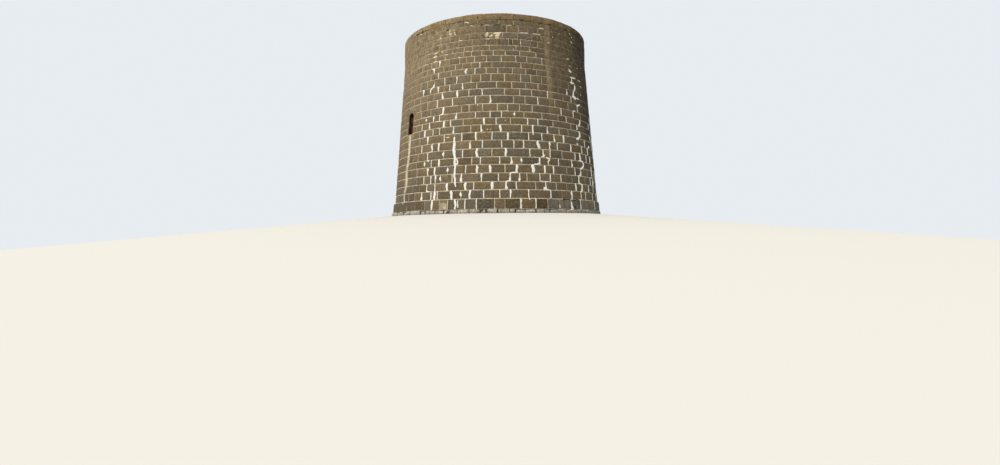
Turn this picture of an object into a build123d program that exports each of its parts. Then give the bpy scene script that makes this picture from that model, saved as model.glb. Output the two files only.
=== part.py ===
from build123d import *

import os
from math import asin, cos, sin, sqrt

# Martello tower: a round, battered coastal gun tower of coursed squared granite.
# Millimetres, Z up. The origin is the centre of the tower on the ground. -Y is the seaward front
# and +Y the landward back. A bearing is in degrees from the front, anticlockwise seen from above,
# so that 90 is the right side (+X), 180 the back and 270 the left side (-X).
# The drum holds a ground-floor store and a first-floor room under a domed vault, which carries
# the gun platform. The only openings are a raised doorway at the back and a window on each side.

# Heights, from the ground up
footing_height = 250
plinth_height = 640
store_height = 3040
springing_height = 3300
vault_rise = 2200
vault_crown_thickness = 700
paving_thickness = 200
upright_face_height = 300
parapet_height = 1580
coping_height = 400

# Outside of the drum
parapet_radius = 6540
batter = 1 / 12.3
plinth_projection = 100
plinth_weathering = 30
footing_projection = 120

# Inside of the drum
room_radius = 4500
floor_ledge_width = 200
vault_seat_width = 540
vault_course_count = 9

# First floor
board_thickness = 40
joist_depth = 250
joist_width = 150
joist_spacing = 700
floor_clearance = 10

# Top of the tower
firing_step_height = 400
firing_step_width = 600
coping_fall = 60
coping_arris = 30

# Windows
window_width = 720
window_height = 1400
window_rise = 210
window_sill_height = 1460
window_reveal = 140
window_inner_width = 1250

# Doorway, at the level of the first floor
door_width = 950
door_height = 2150
door_rise = 270
door_reveal = 350
door_inner_width = 1300

# Dressed stones round the openings
inner_arch_rise = 300
arch_ring_depth = 300
sill_stone_height = 260
sill_stone_bearing = 180
sill_wash = 30

# Joinery, the same for the windows and the door
frame_check = 60
frame_thickness = 80
frame_face_width = 80
stop_width = 30
leaf_thickness = 35
leaf_clearance = 4
ledge_thickness = 25
ledge_height = 140
ledge_end_margin = 60
door_ledge_count = 3

# The round wall is built in eight lengths, and its top in quarters, named for the way they face
WALL_BEARINGS = {
    "front": 0,
    "front_right": 45,
    "right": 90,
    "back_right": 135,
    "back": 180,
    "back_left": 225,
    "left": 270,
    "front_left": 315,
}
TOP_BEARINGS = {"front": 0, "right": 90, "back": 180, "left": 270}
drawing_bearing = 90

# Levels and radii that follow from the sizes
plinth_top = footing_height + plinth_height
first_floor_level = plinth_top + store_height
board_bed = first_floor_level - board_thickness
joist_bed = board_bed - joist_depth
springing_level = first_floor_level + springing_height
vault_crown = springing_level + vault_rise
paving_bed = vault_crown + vault_crown_thickness
platform_level = paving_bed + paving_thickness
batter_top = platform_level + upright_face_height
coping_bed = platform_level + parapet_height
store_radius = room_radius - floor_ledge_width
well_radius = room_radius + vault_seat_width


def face_radius(level):
    """Radius of the outer face at a level: battered low down, upright round the parapet."""
    return parapet_radius + max(0, batter_top - level) * batter


plinth_radius = face_radius(plinth_top) + plinth_projection
plinth_foot_radius = plinth_radius + plinth_height * batter
footing_radius = plinth_foot_radius + footing_projection

# A distance from the axis well outside the wall, for cuts that run right through its face
outside = 2 * footing_radius


def turned(outline, bearing=0, angle=360):
    """A radius and height outline turned about the tower's axis, centred on a bearing."""
    section = make_face(Plane.XZ * Polyline(*outline, close=True))
    start = bearing - drawing_bearing - angle / 2
    return revolve(section, Axis.Z, angle).rotate(Axis.Z, start)


def block(x_range, width, z_range):
    """A box between two distances from the axis and two levels, centred on the XZ plane."""
    x_low, x_high = x_range
    z_low, z_high = z_range
    centre = ((x_low + x_high) / 2, 0, (z_low + z_high) / 2)
    return Pos(*centre) * Box(x_high - x_low, width, z_high - z_low)


def between(shape, low, high):
    """The part of a shape between two levels."""
    return shape & block((-outside, outside), 2 * outside, (low, high))


def facing(shape, bearing):
    """Turns what was drawn along +X to face a bearing."""
    return shape.rotate(Axis.Z, bearing - drawing_bearing)


class Opening:
    """A segmental-headed opening, drawn along +X, with its reveal, joinery and splayed embrasure."""

    def __init__(self, width, sill, height, rise, reveal, inner_width):
        self.half_width = width / 2
        self.sill = sill
        self.crown = sill + height
        self.springing = self.crown - rise
        self.arc_radius = (self.half_width**2 + rise**2) / (2 * rise)
        self.arc_centre = self.crown - self.arc_radius
        self.inner_width = inner_width
        self.frame_front = face_radius(self.crown) - reveal
        self.frame_back = self.frame_front - frame_thickness
        self.leaf_back = self.frame_front - frame_thickness / 2

    def outline(self, x, grow=0, sill_lift=0):
        """The opening's outline in the plane at a distance x from the axis, grown on three sides."""
        half = self.half_width + grow
        radius = self.arc_radius + grow
        sill = self.sill + sill_lift
        shoulder = self.arc_centre + sqrt(radius**2 - half**2)
        foot_left = (x, -half, sill)
        foot_right = (x, half, sill)
        head_left = (x, -half, shoulder)
        head_right = (x, half, shoulder)
        crown = (x, 0, self.arc_centre + radius)
        return make_face(
            [
                Line(foot_left, foot_right),
                Line(foot_right, head_right),
                ThreePointArc(head_right, crown, head_left),
                Line(head_left, foot_left),
            ]
        )

    def prism(self, x_low, x_high, grow=0, sill_lift=0):
        """The outline carried straight from one distance from the axis to another."""
        return extrude(self.outline(x_low, grow, sill_lift), x_high - x_low, dir=(1, 0, 0))

    def splay(self):
        """The embrasure behind the frame: splayed jambs under a level segmental rear arch."""
        half_mouth = self.inner_width / 2
        half_throat = self.half_width + frame_check
        height = self.springing + inner_arch_rise - self.sill
        plan = Polyline(
            (store_radius, -half_mouth, self.sill),
            (store_radius, half_mouth, self.sill),
            (self.frame_back, half_throat, self.sill),
            (self.frame_back, -half_throat, self.sill),
            close=True,
        )
        jambs = extrude(make_face(plan), height, dir=(0, 0, 1))
        rear_arch = Opening.plain(self.inner_width, self.sill, height, inner_arch_rise)
        return jambs & rear_arch.prism(store_radius, self.frame_back)

    def passage(self):
        """What the opening takes from the wall: reveal, check for the frame, and splay."""
        reveal = self.prism(self.frame_front, outside)
        check = self.prism(self.frame_back, self.frame_front, frame_check)
        return reveal + check + self.splay()

    @classmethod
    def plain(cls, width, sill, height, rise):
        """An opening with no reveal, for its outline alone."""
        return cls(width, sill, height, rise, 0, width)

    def arch_ring(self, wall):
        """The ring of arch stones over the reveal, flush with the face of the wall."""
        ring = self.prism(self.frame_front, outside, arch_ring_depth)
        ring = ring - self.prism(self.frame_front, outside)
        return between(wall & ring, self.springing, springing_level)

    def sill_bed(self):
        """The space under the reveal that the sill stone takes from the wall."""
        width = 2 * (self.half_width + sill_stone_bearing)
        return block((self.frame_back, outside), width, (self.sill - sill_stone_height, self.sill))

    def sill_stone(self, wall):
        """The sill, flush with the face of the wall, with its top sloped to shed water."""
        stone = wall & self.sill_bed()
        face = face_radius(self.sill)
        wash = Polyline(
            (self.frame_front, 0, self.sill),
            (outside, 0, self.sill),
            (outside, 0, self.sill - sill_wash),
            (face, 0, self.sill - sill_wash),
            close=True,
        )
        return stone - extrude(make_face(wash), self.half_width, both=True)

    def frame(self):
        """The timber frame, which stands in the check, with a stop behind the leaf."""
        body = self.prism(self.frame_back, self.frame_front, frame_check)
        inset = frame_check - frame_face_width
        leaf_space = self.prism(self.leaf_back, self.frame_front, inset, frame_face_width)
        clear_way = self.prism(self.frame_back, self.leaf_back, inset - stop_width, frame_face_width)
        return body - leaf_space - clear_way

    def leaf(self):
        """The boarded leaf, shut against the stop."""
        inset = frame_check - frame_face_width - leaf_clearance
        lift = frame_face_width + leaf_clearance
        return self.prism(self.leaf_back, self.leaf_back + leaf_thickness, inset, lift)

    def ledges(self, count, width):
        """Ledges across the back of the leaf, between the stops."""
        pitch = (self.springing - self.sill) / count
        reach = (self.leaf_back - ledge_thickness, self.leaf_back)
        levels = [self.sill + pitch * (i + 1 / 2) for i in range(count)]
        return [block(reach, width, (z - ledge_height / 2, z + ledge_height / 2)) for z in levels]


window = Opening(
    window_width,
    first_floor_level + window_sill_height,
    window_height,
    window_rise,
    window_reveal,
    window_inner_width,
)
door = Opening(door_width, first_floor_level, door_height, door_rise, door_reveal, door_inner_width)
OPENINGS = {"left": ("window", window), "right": ("window", window), "back": ("door", door)}


def wall_length(bearing):
    """One length of the drum, with a ledge for the first floor and a seat for the vault."""
    outline = [
        (store_radius, plinth_top),
        (face_radius(plinth_top), plinth_top),
        (parapet_radius, batter_top),
        (well_radius, batter_top),
        (well_radius, springing_level),
        (room_radius, springing_level),
        (room_radius, joist_bed),
        (store_radius, joist_bed),
    ]
    return turned(outline, bearing, 360 / len(WALL_BEARINGS))


def opened_wall(side, kind, opening):
    """A length with an opening: under, beside and over it, and its sill and arch stones."""
    wall = wall_length(drawing_bearing)
    arch = opening.arch_ring(wall)
    passage = opening.passage()
    pieces = {
        f"wall_{side}_under_{kind}": between(wall, plinth_top, opening.sill) - opening.sill_bed(),
        f"wall_{side}_beside_{kind}": between(wall, opening.sill, opening.springing) - passage,
        f"wall_{side}_over_{kind}": between(wall, opening.springing, batter_top) - passage - arch,
        f"{side}_{kind}_sill": opening.sill_stone(wall),
        f"{side}_{kind}_arch": arch,
    }
    return {name: facing(piece, WALL_BEARINGS[side]) for name, piece in pieces.items()}


def footing():
    """The rough foundation course that shows above the ground."""
    outline = [
        (store_radius, 0),
        (footing_radius, 0),
        (footing_radius, footing_height),
        (store_radius, footing_height),
    ]
    return turned(outline)


def plinth():
    """The lowest dressed course, which stands out from the drum under a weathered edge."""
    outline = [
        (store_radius, footing_height),
        (plinth_foot_radius, footing_height),
        (plinth_radius, plinth_top - plinth_weathering),
        (face_radius(plinth_top), plinth_top),
        (store_radius, plinth_top),
    ]
    return turned(outline)


def ground_floor():
    """The store's paved floor on its fill, inside the footing and the plinth."""
    return turned([(0, 0), (store_radius, 0), (store_radius, plinth_top), (0, plinth_top)])


def disc(radius, low, high):
    """A round slab between two levels."""
    return Pos(0, 0, (low + high) / 2) * Cylinder(radius, high - low)


def joists():
    """Joists across the tower, with their ends on the ledge of the wall."""
    reach = room_radius - floor_clearance
    count_each_side = int((store_radius - joist_width) // joist_spacing)
    within = disc(reach, joist_bed, board_bed)
    beams = []
    for i in range(-count_each_side, count_each_side + 1):
        beam = block((-reach, reach), joist_width, (joist_bed, board_bed))
        beams.append((Pos(0, i * joist_spacing, 0) * beam) & within)
    return Compound(children=beams)


def vault_soffit():
    """The dome's underside from the springing in: rings of flat-faced stones round a flat key."""
    radius = (room_radius**2 + vault_rise**2) / (2 * vault_rise)
    centre = vault_crown - radius
    spread = asin(room_radius / radius)
    angles = [spread * (1 - i / vault_course_count) for i in range(vault_course_count)]
    return [(radius * sin(angle), centre + radius * cos(angle)) for angle in angles]


def vault():
    """The domed vault and the masonry over its haunches, seated on the drum."""
    soffit = vault_soffit()
    key_level = soffit[-1][1]
    mass = [(0, key_level), (0, paving_bed), (well_radius, paving_bed), (well_radius, springing_level)]
    return turned(mass + soffit)


def firing_step():
    """The step round the inside of the parapet."""
    inner = well_radius - firing_step_width
    top = platform_level + firing_step_height
    outline = [(inner, platform_level), (well_radius, platform_level), (well_radius, top), (inner, top)]
    return turned(outline)


def parapet(bearing):
    """A quarter of the upright parapet over the batter."""
    outline = [
        (well_radius, batter_top),
        (parapet_radius, batter_top),
        (parapet_radius, coping_bed),
        (well_radius, coping_bed),
    ]
    return turned(outline, bearing, 360 / len(TOP_BEARINGS))


def coping(bearing):
    """A quarter of the coping, which falls outwards to a worn arris."""
    rim = coping_bed + coping_height
    outline = [
        (well_radius, coping_bed),
        (parapet_radius, coping_bed),
        (parapet_radius, rim - coping_arris),
        (parapet_radius - coping_arris, rim),
        (well_radius, rim + coping_fall),
    ]
    return turned(outline, bearing, 360 / len(TOP_BEARINGS))


def window_shutters():
    """Two boarded leaves that meet in the middle of a window."""
    meeting = block((0, outside), leaf_clearance, (0, window.crown))
    return window.leaf() - meeting


def door_leaf():
    """The boarded door with its ledges."""
    clear_width = 2 * (door.half_width + frame_check - frame_face_width - stop_width)
    leaf = door.leaf()
    for ledge in door.ledges(door_ledge_count, clear_width - 2 * ledge_end_margin):
        leaf += ledge
    return leaf


def tower():
    """Every piece of the tower by name."""
    pieces = {
        "footing": footing(),
        "plinth": plinth(),
        "ground_floor": ground_floor(),
        "first_floor_joists": joists(),
        "first_floor_boards": disc(room_radius - floor_clearance, board_bed, first_floor_level),
        "vault": vault(),
        "gun_platform_paving": disc(well_radius, paving_bed, platform_level),
        "firing_step": firing_step(),
    }
    for side, bearing in WALL_BEARINGS.items():
        if side in OPENINGS:
            kind, opening = OPENINGS[side]
            pieces |= opened_wall(side, kind, opening)
            pieces[f"{side}_{kind}_frame"] = facing(opening.frame(), bearing)
        else:
            pieces[f"wall_{side}"] = wall_length(bearing)
    for side, bearing in TOP_BEARINGS.items():
        pieces[f"parapet_{side}"] = parapet(bearing)
        pieces[f"coping_{side}"] = coping(bearing)
    pieces["left_window_shutters"] = facing(window_shutters(), WALL_BEARINGS["left"])
    pieces["right_window_shutters"] = facing(window_shutters(), WALL_BEARINGS["right"])
    pieces["back_door_leaf"] = facing(door_leaf(), WALL_BEARINGS["back"])
    return pieces


os.makedirs("parts", exist_ok=True)
for name, piece in tower().items():
    export_step(piece, f"parts/{name}.step")
    print(name, "cubic metres:", round(sum(solid.volume for solid in piece.solids()) / 1e9, 3))
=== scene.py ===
# %% [markdown]
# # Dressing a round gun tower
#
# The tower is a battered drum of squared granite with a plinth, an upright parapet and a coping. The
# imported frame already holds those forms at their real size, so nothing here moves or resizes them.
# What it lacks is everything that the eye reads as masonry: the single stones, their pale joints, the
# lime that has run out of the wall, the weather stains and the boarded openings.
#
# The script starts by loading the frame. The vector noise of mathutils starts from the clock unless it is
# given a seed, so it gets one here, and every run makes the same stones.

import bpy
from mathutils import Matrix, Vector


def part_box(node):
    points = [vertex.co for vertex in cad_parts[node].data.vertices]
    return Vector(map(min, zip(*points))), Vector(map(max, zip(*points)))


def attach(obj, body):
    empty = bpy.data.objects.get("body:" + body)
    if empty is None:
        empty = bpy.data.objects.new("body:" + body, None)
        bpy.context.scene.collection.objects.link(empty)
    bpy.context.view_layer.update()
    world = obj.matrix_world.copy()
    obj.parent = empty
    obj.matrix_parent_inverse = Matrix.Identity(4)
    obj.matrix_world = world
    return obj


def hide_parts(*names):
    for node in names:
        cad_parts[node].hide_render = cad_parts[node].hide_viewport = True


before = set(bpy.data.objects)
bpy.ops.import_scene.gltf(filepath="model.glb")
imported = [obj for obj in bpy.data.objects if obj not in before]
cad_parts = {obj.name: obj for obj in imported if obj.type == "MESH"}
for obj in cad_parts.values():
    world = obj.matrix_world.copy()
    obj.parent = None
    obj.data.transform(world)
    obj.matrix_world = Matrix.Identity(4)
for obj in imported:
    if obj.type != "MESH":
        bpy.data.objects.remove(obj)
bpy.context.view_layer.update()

import random
from math import asin, cos, degrees, hypot, pi, radians, sin, sqrt, tan

import bmesh
import bpy
from mathutils import Matrix, Vector, noise

noise.seed_set(7)
print("nodes in the frame:", len(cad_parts))

# %% [markdown]
# ## Sizes and directions
#
# Every place below is worked out from the frame. A bearing is in degrees round the tower from the blank
# seaward front (-Y), anticlockwise seen from above. The angles read from the photograph are measured from
# a line 35 degrees to the left of that front, which is within a degree of where its camera stood. Heights
# read from it are shares of the twelve metres above the footing.

# %% Sizes read from the frame
footing_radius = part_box("footing")[1].x
footing_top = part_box("footing")[1].z
plinth_foot_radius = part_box("plinth")[1].x
plinth_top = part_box("plinth")[1].z
wall_foot_radius = -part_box("wall_front")[0].y
parapet_radius = -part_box("parapet_front")[0].y
batter_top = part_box("parapet_front")[0].z
coping_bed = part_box("parapet_front")[1].z
rim_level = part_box("coping_front")[1].z
well_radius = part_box("gun_platform_paving")[1].x
platform_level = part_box("gun_platform_paving")[1].z
step_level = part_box("firing_step")[1].z

batter = (wall_foot_radius - parapet_radius) / (batter_top - plinth_top)
photo_bearing = -35
photo_height = 12.0
print(f"batter 1 in {1 / batter:.1f}, rim at {rim_level:.2f} m")


def face_radius(level):
    """Distance of the wall's face from the tower's axis at a level."""
    return parapet_radius + max(0, batter_top - level) * batter


def plinth_face(level):
    """The same for the plinth, which stands a little out from the wall."""
    return plinth_foot_radius - (level - footing_top) * batter


# %% [markdown]
# ## A short way to write materials
#
# A procedural material is a graph of small nodes. Writing each node and link by hand takes many lines, so
# this class gives the few kinds that stone and timber need: noise, a soft step between two values, sums
# and mixes. Everything reads Object coordinates, which are metres in the tower's own frame, so a pattern
# has the same scale on every piece and runs on from one to the next.

# %% The material writer
noise_roughness = 0.55


class Finish:
    """A material on a Principled shader, with short names for the nodes that feed it."""

    def __init__(self, name):
        self.material = bpy.data.materials.new(name)
        self.material.use_nodes = True
        self.tree = self.material.node_tree
        self.shader = self.tree.nodes["Principled BSDF"]
        self.place = self.add("ShaderNodeTexCoord").outputs["Object"]

    def add(self, kind, **settings):
        node = self.tree.nodes.new(kind)
        for name, value in settings.items():
            setattr(node, name, value)
        return node

    def feed(self, socket, value):
        if isinstance(value, bpy.types.NodeSocket):
            self.tree.links.new(value, socket)
        else:
            socket.default_value = value

    def parts(self, vector):
        node = self.add("ShaderNodeSeparateXYZ")
        self.feed(node.inputs[0], vector)
        return node.outputs[0], node.outputs[1], node.outputs[2]

    def math(self, operation, first, second=0.0, third=0.0):
        node = self.add("ShaderNodeMath", operation=operation)
        for socket, value in zip(node.inputs, (first, second, third)):
            self.feed(socket, value)
        return node.outputs[0]

    def times(self, first, *others):
        """The product of two values or more."""
        for other in others:
            first = self.math("MULTIPLY", first, other)
        return first

    def scaled(self, value, by, plus):
        """A value times one number, plus another."""
        return self.math("MULTIPLY_ADD", value, by, plus)

    def centred(self, value):
        """A noise swings round a half; this makes it swing round 0."""
        return self.math("SUBTRACT", value, 0.5)

    def away(self, value, centre):
        """How far a value is from a centre, either way."""
        return self.math("ABSOLUTE", self.math("SUBTRACT", value, centre))

    def step(self, value, low, high):
        """0 below low, 1 above high and smooth between. With low above high it falls instead."""
        node = self.add("ShaderNodeMapRange", interpolation_type="SMOOTHSTEP")
        self.feed(node.inputs["Value"], value)
        self.feed(node.inputs["From Min"], low)
        self.feed(node.inputs["From Max"], high)
        return node.outputs[0]

    def stretched(self, stretch):
        node = self.add("ShaderNodeMapping")
        self.feed(node.inputs["Vector"], self.place)
        self.feed(node.inputs["Scale"], stretch)
        return node.outputs[0]

    def noise(self, scale, detail=4.0, stretch=None):
        node = self.add("ShaderNodeTexNoise")
        self.feed(node.inputs["Vector"], self.stretched(stretch) if stretch else self.place)
        self.feed(node.inputs["Scale"], scale)
        self.feed(node.inputs["Detail"], detail)
        self.feed(node.inputs["Roughness"], noise_roughness)
        return node.outputs[0]

    def mix(self, share, first, second):
        node = self.add("ShaderNodeMix", data_type="RGBA")
        self.feed(node.inputs["Factor"], share)
        self.feed(node.inputs[6], (*first, 1) if isinstance(first, tuple) else first)
        self.feed(node.inputs[7], (*second, 1) if isinstance(second, tuple) else second)
        return node.outputs[2]

    def over(self, colour, share, strength, upper):
        """Lays an upper colour over another, where a share says and as strongly as a number says."""
        return self.mix(self.times(share, strength), colour, upper)

    def brighten(self, colour, amount):
        """Multiplies a colour by a value."""
        node = self.add("ShaderNodeVectorMath", operation="SCALE")
        self.feed(node.inputs[0], colour)
        self.feed(node.inputs["Scale"], amount)
        return node.outputs[0]

    def attribute(self, name):
        return self.parts(self.add("ShaderNodeAttribute", attribute_name=name).outputs["Vector"])

    def bump(self, height, distance, below=None):
        node = self.add("ShaderNodeBump")
        self.feed(node.inputs["Height"], height)
        self.feed(node.inputs["Distance"], distance)
        if below:
            self.feed(node.inputs["Normal"], below)
        return node.outputs[0]

    def finish(self, colour, roughness, normal=None, specular=0.3):
        self.feed(self.shader.inputs["Base Color"], colour)
        self.feed(self.shader.inputs["Roughness"], roughness)
        self.feed(self.shader.inputs["Specular IOR Level"], specular)
        if normal:
            self.feed(self.shader.inputs["Normal"], normal)
        return self.material


print("the material writer is ready")

# %% [markdown]
# ## Weather
#
# The stains on a tower don't stop at a joint: they run over stone and mortar alike. So they are worked
# out once, from the angle and the height, and laid over whatever colour a material starts with. From the
# photograph: a tan bloom of lichen over the top courses and the left side, laid heavier and paler toward
# the sunlit left as painted light; a darker growth over the upper right, with painted shade over the right
# side that is blackest at the edge; one pale run down the right, a cream run under the window, and
# bleached stones at the foot. The reveals of the openings are darkened nearly to black, partly as growth and
# partly as painted shade, and a dark band of painted shadow lies in the joint under the coping. Each number
# is an angle in degrees, a share of the height or a strength. Angles meet behind the tower and on its
# axis, so every stain fades out before it gets there.

# %% The weather stains
tan_bloom_and_light = (0.375, 0.277, 0.155)
pale_bloom_and_light = (0.55, 0.43, 0.28)
# dark_growth_and_shade is the colour of dark growth and of the painted shade on the right;
# damp_and_shade_dark is the near-black of damp and of the deepest painted shade, at the right edge and under
# the coping.
dark_growth_and_shade = (0.072, 0.053, 0.029)
damp_and_shade_dark = (0.020, 0.017, 0.012)
orange_lichen = (0.40, 0.27, 0.12)
# reveal_growth_and_shade: partly green growth, partly painted shade in the deep reveals
reveal_growth_and_shade = (0.018, 0.020, 0.012)
cream_run = (0.74, 0.66, 0.48)
pale_run = (0.33, 0.265, 0.165)
bleached_stone = (0.30, 0.295, 0.265)
pale_mortar = (0.70, 0.63, 0.48)
dull_mortar = (0.52, 0.45, 0.33)
brown_mortar = (0.20, 0.155, 0.095)

run_angle = 27.8
run_path = ((0.058, -57.0), (0.096, -57.3), (0.154, -55.7), (0.22, -56.3), (0.284, -55.0), (0.42, -54.9))
path_start, path_span = -60.0, 10.0


class Weathered(Finish):
    """A finish that knows where it is on the tower."""

    def __init__(self, name):
        super().__init__(name)
        x, y, self.z = self.parts(self.place)
        turn = self.math("ARCTAN2", x, self.times(y, -1.0))
        self.angle = self.scaled(turn, degrees(1), -photo_bearing)
        self.height = self.math("DIVIDE", self.math("SUBTRACT", self.z, footing_top), photo_height)
        flat = self.add("ShaderNodeCombineXYZ")
        self.feed(flat.inputs[0], x)
        self.feed(flat.inputs[1], y)
        reach = self.add("ShaderNodeVectorMath", operation="LENGTH")
        self.feed(reach.inputs[0], flat.outputs[0])
        self.reach = reach.outputs["Value"]
        rise = self.math("MAXIMUM", self.math("SUBTRACT", batter_top, self.z), 0.0)
        face = self.scaled(rise, batter, parapet_radius)
        self.behind = self.math("SUBTRACT", face, self.reach)
        self.drift = self.centred(self.noise(0.55, 5.0, (1, 1, 0.5)))
        self.level = self.scaled(self.drift, 0.30, self.height)
        self.streaks = self.noise(1.0, 5.0, (3.2, 3.2, 0.22))
        self.patchy = self.step(self.noise(3.4, 6.0), 0.38, 0.60)

    def across(self, start, end):
        """0 at one angle and 1 at another."""
        return self.step(self.angle, start, end)

    def near(self, centre, half_width, softness):
        """1 within half_width degrees of a centre angle, fading over the softness."""
        return self.step(self.away(self.angle, centre), half_width + softness, half_width)

    def up(self, start, end):
        """0 at one height and 1 at another, along a line that drifts up and down."""
        return self.step(self.level, start, end)

    def sharp_up(self, start, end):
        """The same along a level line."""
        return self.step(self.height, start, end)

    def blooms(self, colour, back_left, bloom):
        """Lichen: tan over the top and the left, pale at the upper left, with dark specks near the top. Laid
        heavier and paler toward the sunlit left, it is partly painted light.
        """
        top = self.up(0.62, 0.93)
        # painted light: the bloom grows heavier toward the sunlit left, and on the top most there
        left = self.times(self.across(8.0, -50.0), back_left, self.up(0.05, 0.60))
        golden_and_sunlit = self.math("MAXIMUM", self.times(top, self.scaled(left, 0.6, 0.4)), left)
        tanned_and_sunlit = self.times(golden_and_sunlit, self.scaled(self.patchy, 0.50, 0.32))
        colour = self.over(colour, tanned_and_sunlit, 0.56 * bloom, tan_bloom_and_light)
        # painted light: pale patches only on the sunlit upper left
        sunlit_upper_left = self.times(self.across(0.0, -36.0), self.up(0.55, 0.90), back_left)
        pale = self.times(sunlit_upper_left, self.step(self.noise(5.2, 6.0, (1, 1, 0.6)), 0.42, 0.64))
        colour = self.over(colour, pale, 0.47 * bloom, pale_bloom_and_light)
        bare = self.scaled(sunlit_upper_left, -0.7, 1.0)
        specks = self.times(top, bare, self.step(self.noise(8.5, 6.0), 0.52, 0.62))
        return self.over(colour, specks, 0.55, dark_growth_and_shade)

    def growths(self, colour, back_right, growing):
        """Dark growth on the sheltered right, with orange flecks high up, and painted shade over the right
        side, blackest at its far edge.
        """
        # painted shade: the whole right side, turned from the sun, is darkened
        lee_growth_and_shade = self.times(self.across(-10.0, 55.0), back_right)
        colour = self.over(colour, lee_growth_and_shade, 0.24 * growing, dark_growth_and_shade)
        right = self.times(self.across(10.0, 60.0), back_right, self.up(0.08, 0.92))
        blotches = self.step(self.noise(4.3, 6.0, (1, 1, 0.7)), 0.43, 0.58)
        uneven = self.scaled(self.streaks, 0.7, self.scaled(blotches, 0.80, -0.15))
        colour = self.over(colour, self.times(right, uneven), 0.95 * growing, dark_growth_and_shade)
        # painted shade, partly dark growth: the far right edge is blackest, more so high up
        leaning = self.scaled(self.height, 9.0, self.angle)
        edge = self.times(self.step(leaning, 49.0, 72.0), self.across(130.0, 90.0), back_right)
        edge = self.times(edge, self.scaled(self.up(0.1, 0.9), 0.32, 0.60 * growing))
        colour = self.mix(edge, colour, damp_and_shade_dark)
        high = self.times(self.up(0.50, 0.80), self.across(12.0, 38.0), back_right)
        flecks = self.times(self.step(self.noise(9.5, 5.0), 0.575, 0.65), high)
        return self.over(colour, flecks, 0.55 * growing, orange_lichen)

    def washes(self, colour):
        """The two runs that rain has left, and what is bleached or smeared at the foot."""
        on_face = self.step(self.behind, 0.25, 0.06)
        ragged = self.noise(4.0, 5.0, (1, 1, 0.5))
        wander = self.scaled(self.drift, 2.5, self.scaled(ragged, 3.0, run_angle))
        run = self.times(self.near(wander, 0.7, 1.5), self.sharp_up(0.47, 0.62))
        run = self.times(run, self.step(self.noise(5.5, 5.0, (1, 1, 0.4)), 0.30, 0.62), on_face)
        colour = self.over(colour, run, 0.75, pale_run)
        colour = self.over(colour, self.times(self.window_run(), on_face), 0.95, cream_run)
        bleached = self.times(self.across(23.0, 29.0), self.sharp_up(0.056, 0.050))
        bleached = self.times(bleached, self.across(110.0, 80.0), self.step(ragged, 0.36, 0.60))
        colour = self.over(colour, bleached, 0.30, bleached_stone)
        patch = self.times(self.near(-26.7, 1.4, 0.9), self.sharp_up(0.040, 0.031))
        patch = self.times(patch, self.scaled(self.patchy, 0.45, 0.30))
        return self.mix(patch, colour, cream_run)

    def window_run(self):
        """The cream run from the left window's sill down to the plinth, along the points of its path."""
        curve = self.add("ShaderNodeFloatCurve")
        points = curve.mapping.curves[0].points
        places = [(height, (angle - path_start) / path_span) for height, angle in run_path]
        for point, place in zip(points, (places[0], places[-1])):
            point.location = place
        for place in places[1:-1]:
            points.new(*place)
        curve.mapping.update()
        self.feed(curve.inputs["Value"], self.height)
        centre = self.scaled(curve.outputs[0], path_span, path_start)
        ragged = self.scaled(self.centred(self.noise(6.0, 3.0)), 1.6, centre)
        half = self.scaled(self.sharp_up(0.095, 0.14), 0.60, 0.20)
        across = self.step(self.math("SUBTRACT", self.away(self.angle, ragged), half), 0.9, 0.0)
        along = self.times(self.sharp_up(0.035, 0.06), self.sharp_up(0.428, 0.418))
        mottled = self.scaled(self.step(self.noise(3.3, 5.0), 0.36, 0.56), 0.35, 0.65)
        return self.times(across, along, mottled)

    def in_reveals(self):
        """1 on stone that lies well behind the wall's face, as in the reveals of the openings, where it is
        darkened as growth and painted shade.
        """
        outer = self.step(self.reach, well_radius + 0.9, well_radius + 1.1)
        below = self.step(self.z, rim_level - 0.5, rim_level - 0.6)
        return self.times(self.step(self.behind, 0.025, 0.060), outer, below)

    def weather(self, colour, bloom=1.0, growing=1.0):
        """Lays all the stains, with the painted light and shade among them, over a colour. Mortar takes less
        of the bloom and the growth than stone.
        """
        outside = self.step(self.reach, well_radius - 0.2, well_radius + 0.7)
        back_left = self.times(self.across(-140.0, -100.0), outside)
        back_right = self.times(self.across(210.0, 150.0), outside)
        colour = self.blooms(colour, back_left, bloom)
        colour = self.growths(colour, back_right, growing)
        # painted shade: stone in the reveals is darkened nearly to black, partly as growth
        return self.over(self.washes(colour), self.in_reveals(), 0.93, reveal_growth_and_shade)

    def pointing(self):
        """Mortar that is pale low down and brown near the top, soonest to the right of the pale run, with a
        dark band of painted shadow under the coping.
        """
        colour = self.mix(self.step(self.noise(3.0, 5.0), 0.35, 0.65), dull_mortar, pale_mortar)
        sides = self.step(self.away(self.angle, -2.0), 12.0, 46.0)
        past_run = self.times(self.across(24.0, 34.0), self.across(140.0, 90.0), self.sharp_up(0.40, 0.60))
        level = self.scaled(self.drift, 0.50, self.scaled(past_run, 0.26, self.height))
        level = self.scaled(sides, 0.10, level)
        colour = self.over(colour, self.step(level, 0.86, 1.06), 0.75, brown_mortar)
        dirt = self.times(self.step(self.noise(1.1), 0.48, 0.66), self.sharp_up(0.10, 0.60))
        colour = self.over(colour, dirt, 0.35, brown_mortar)
        # painted shadow: a patchy dark band in the joint under the coping
        coping_shadow_band = self.step(self.away(self.z, coping_bed), 0.06, 0.03)
        gap = self.times(coping_shadow_band, self.step(self.noise(1.3, 3.0), 0.40, 0.55))
        return self.mix(gap, colour, damp_and_shade_dark)


print("the weather stains are ready")

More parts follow.
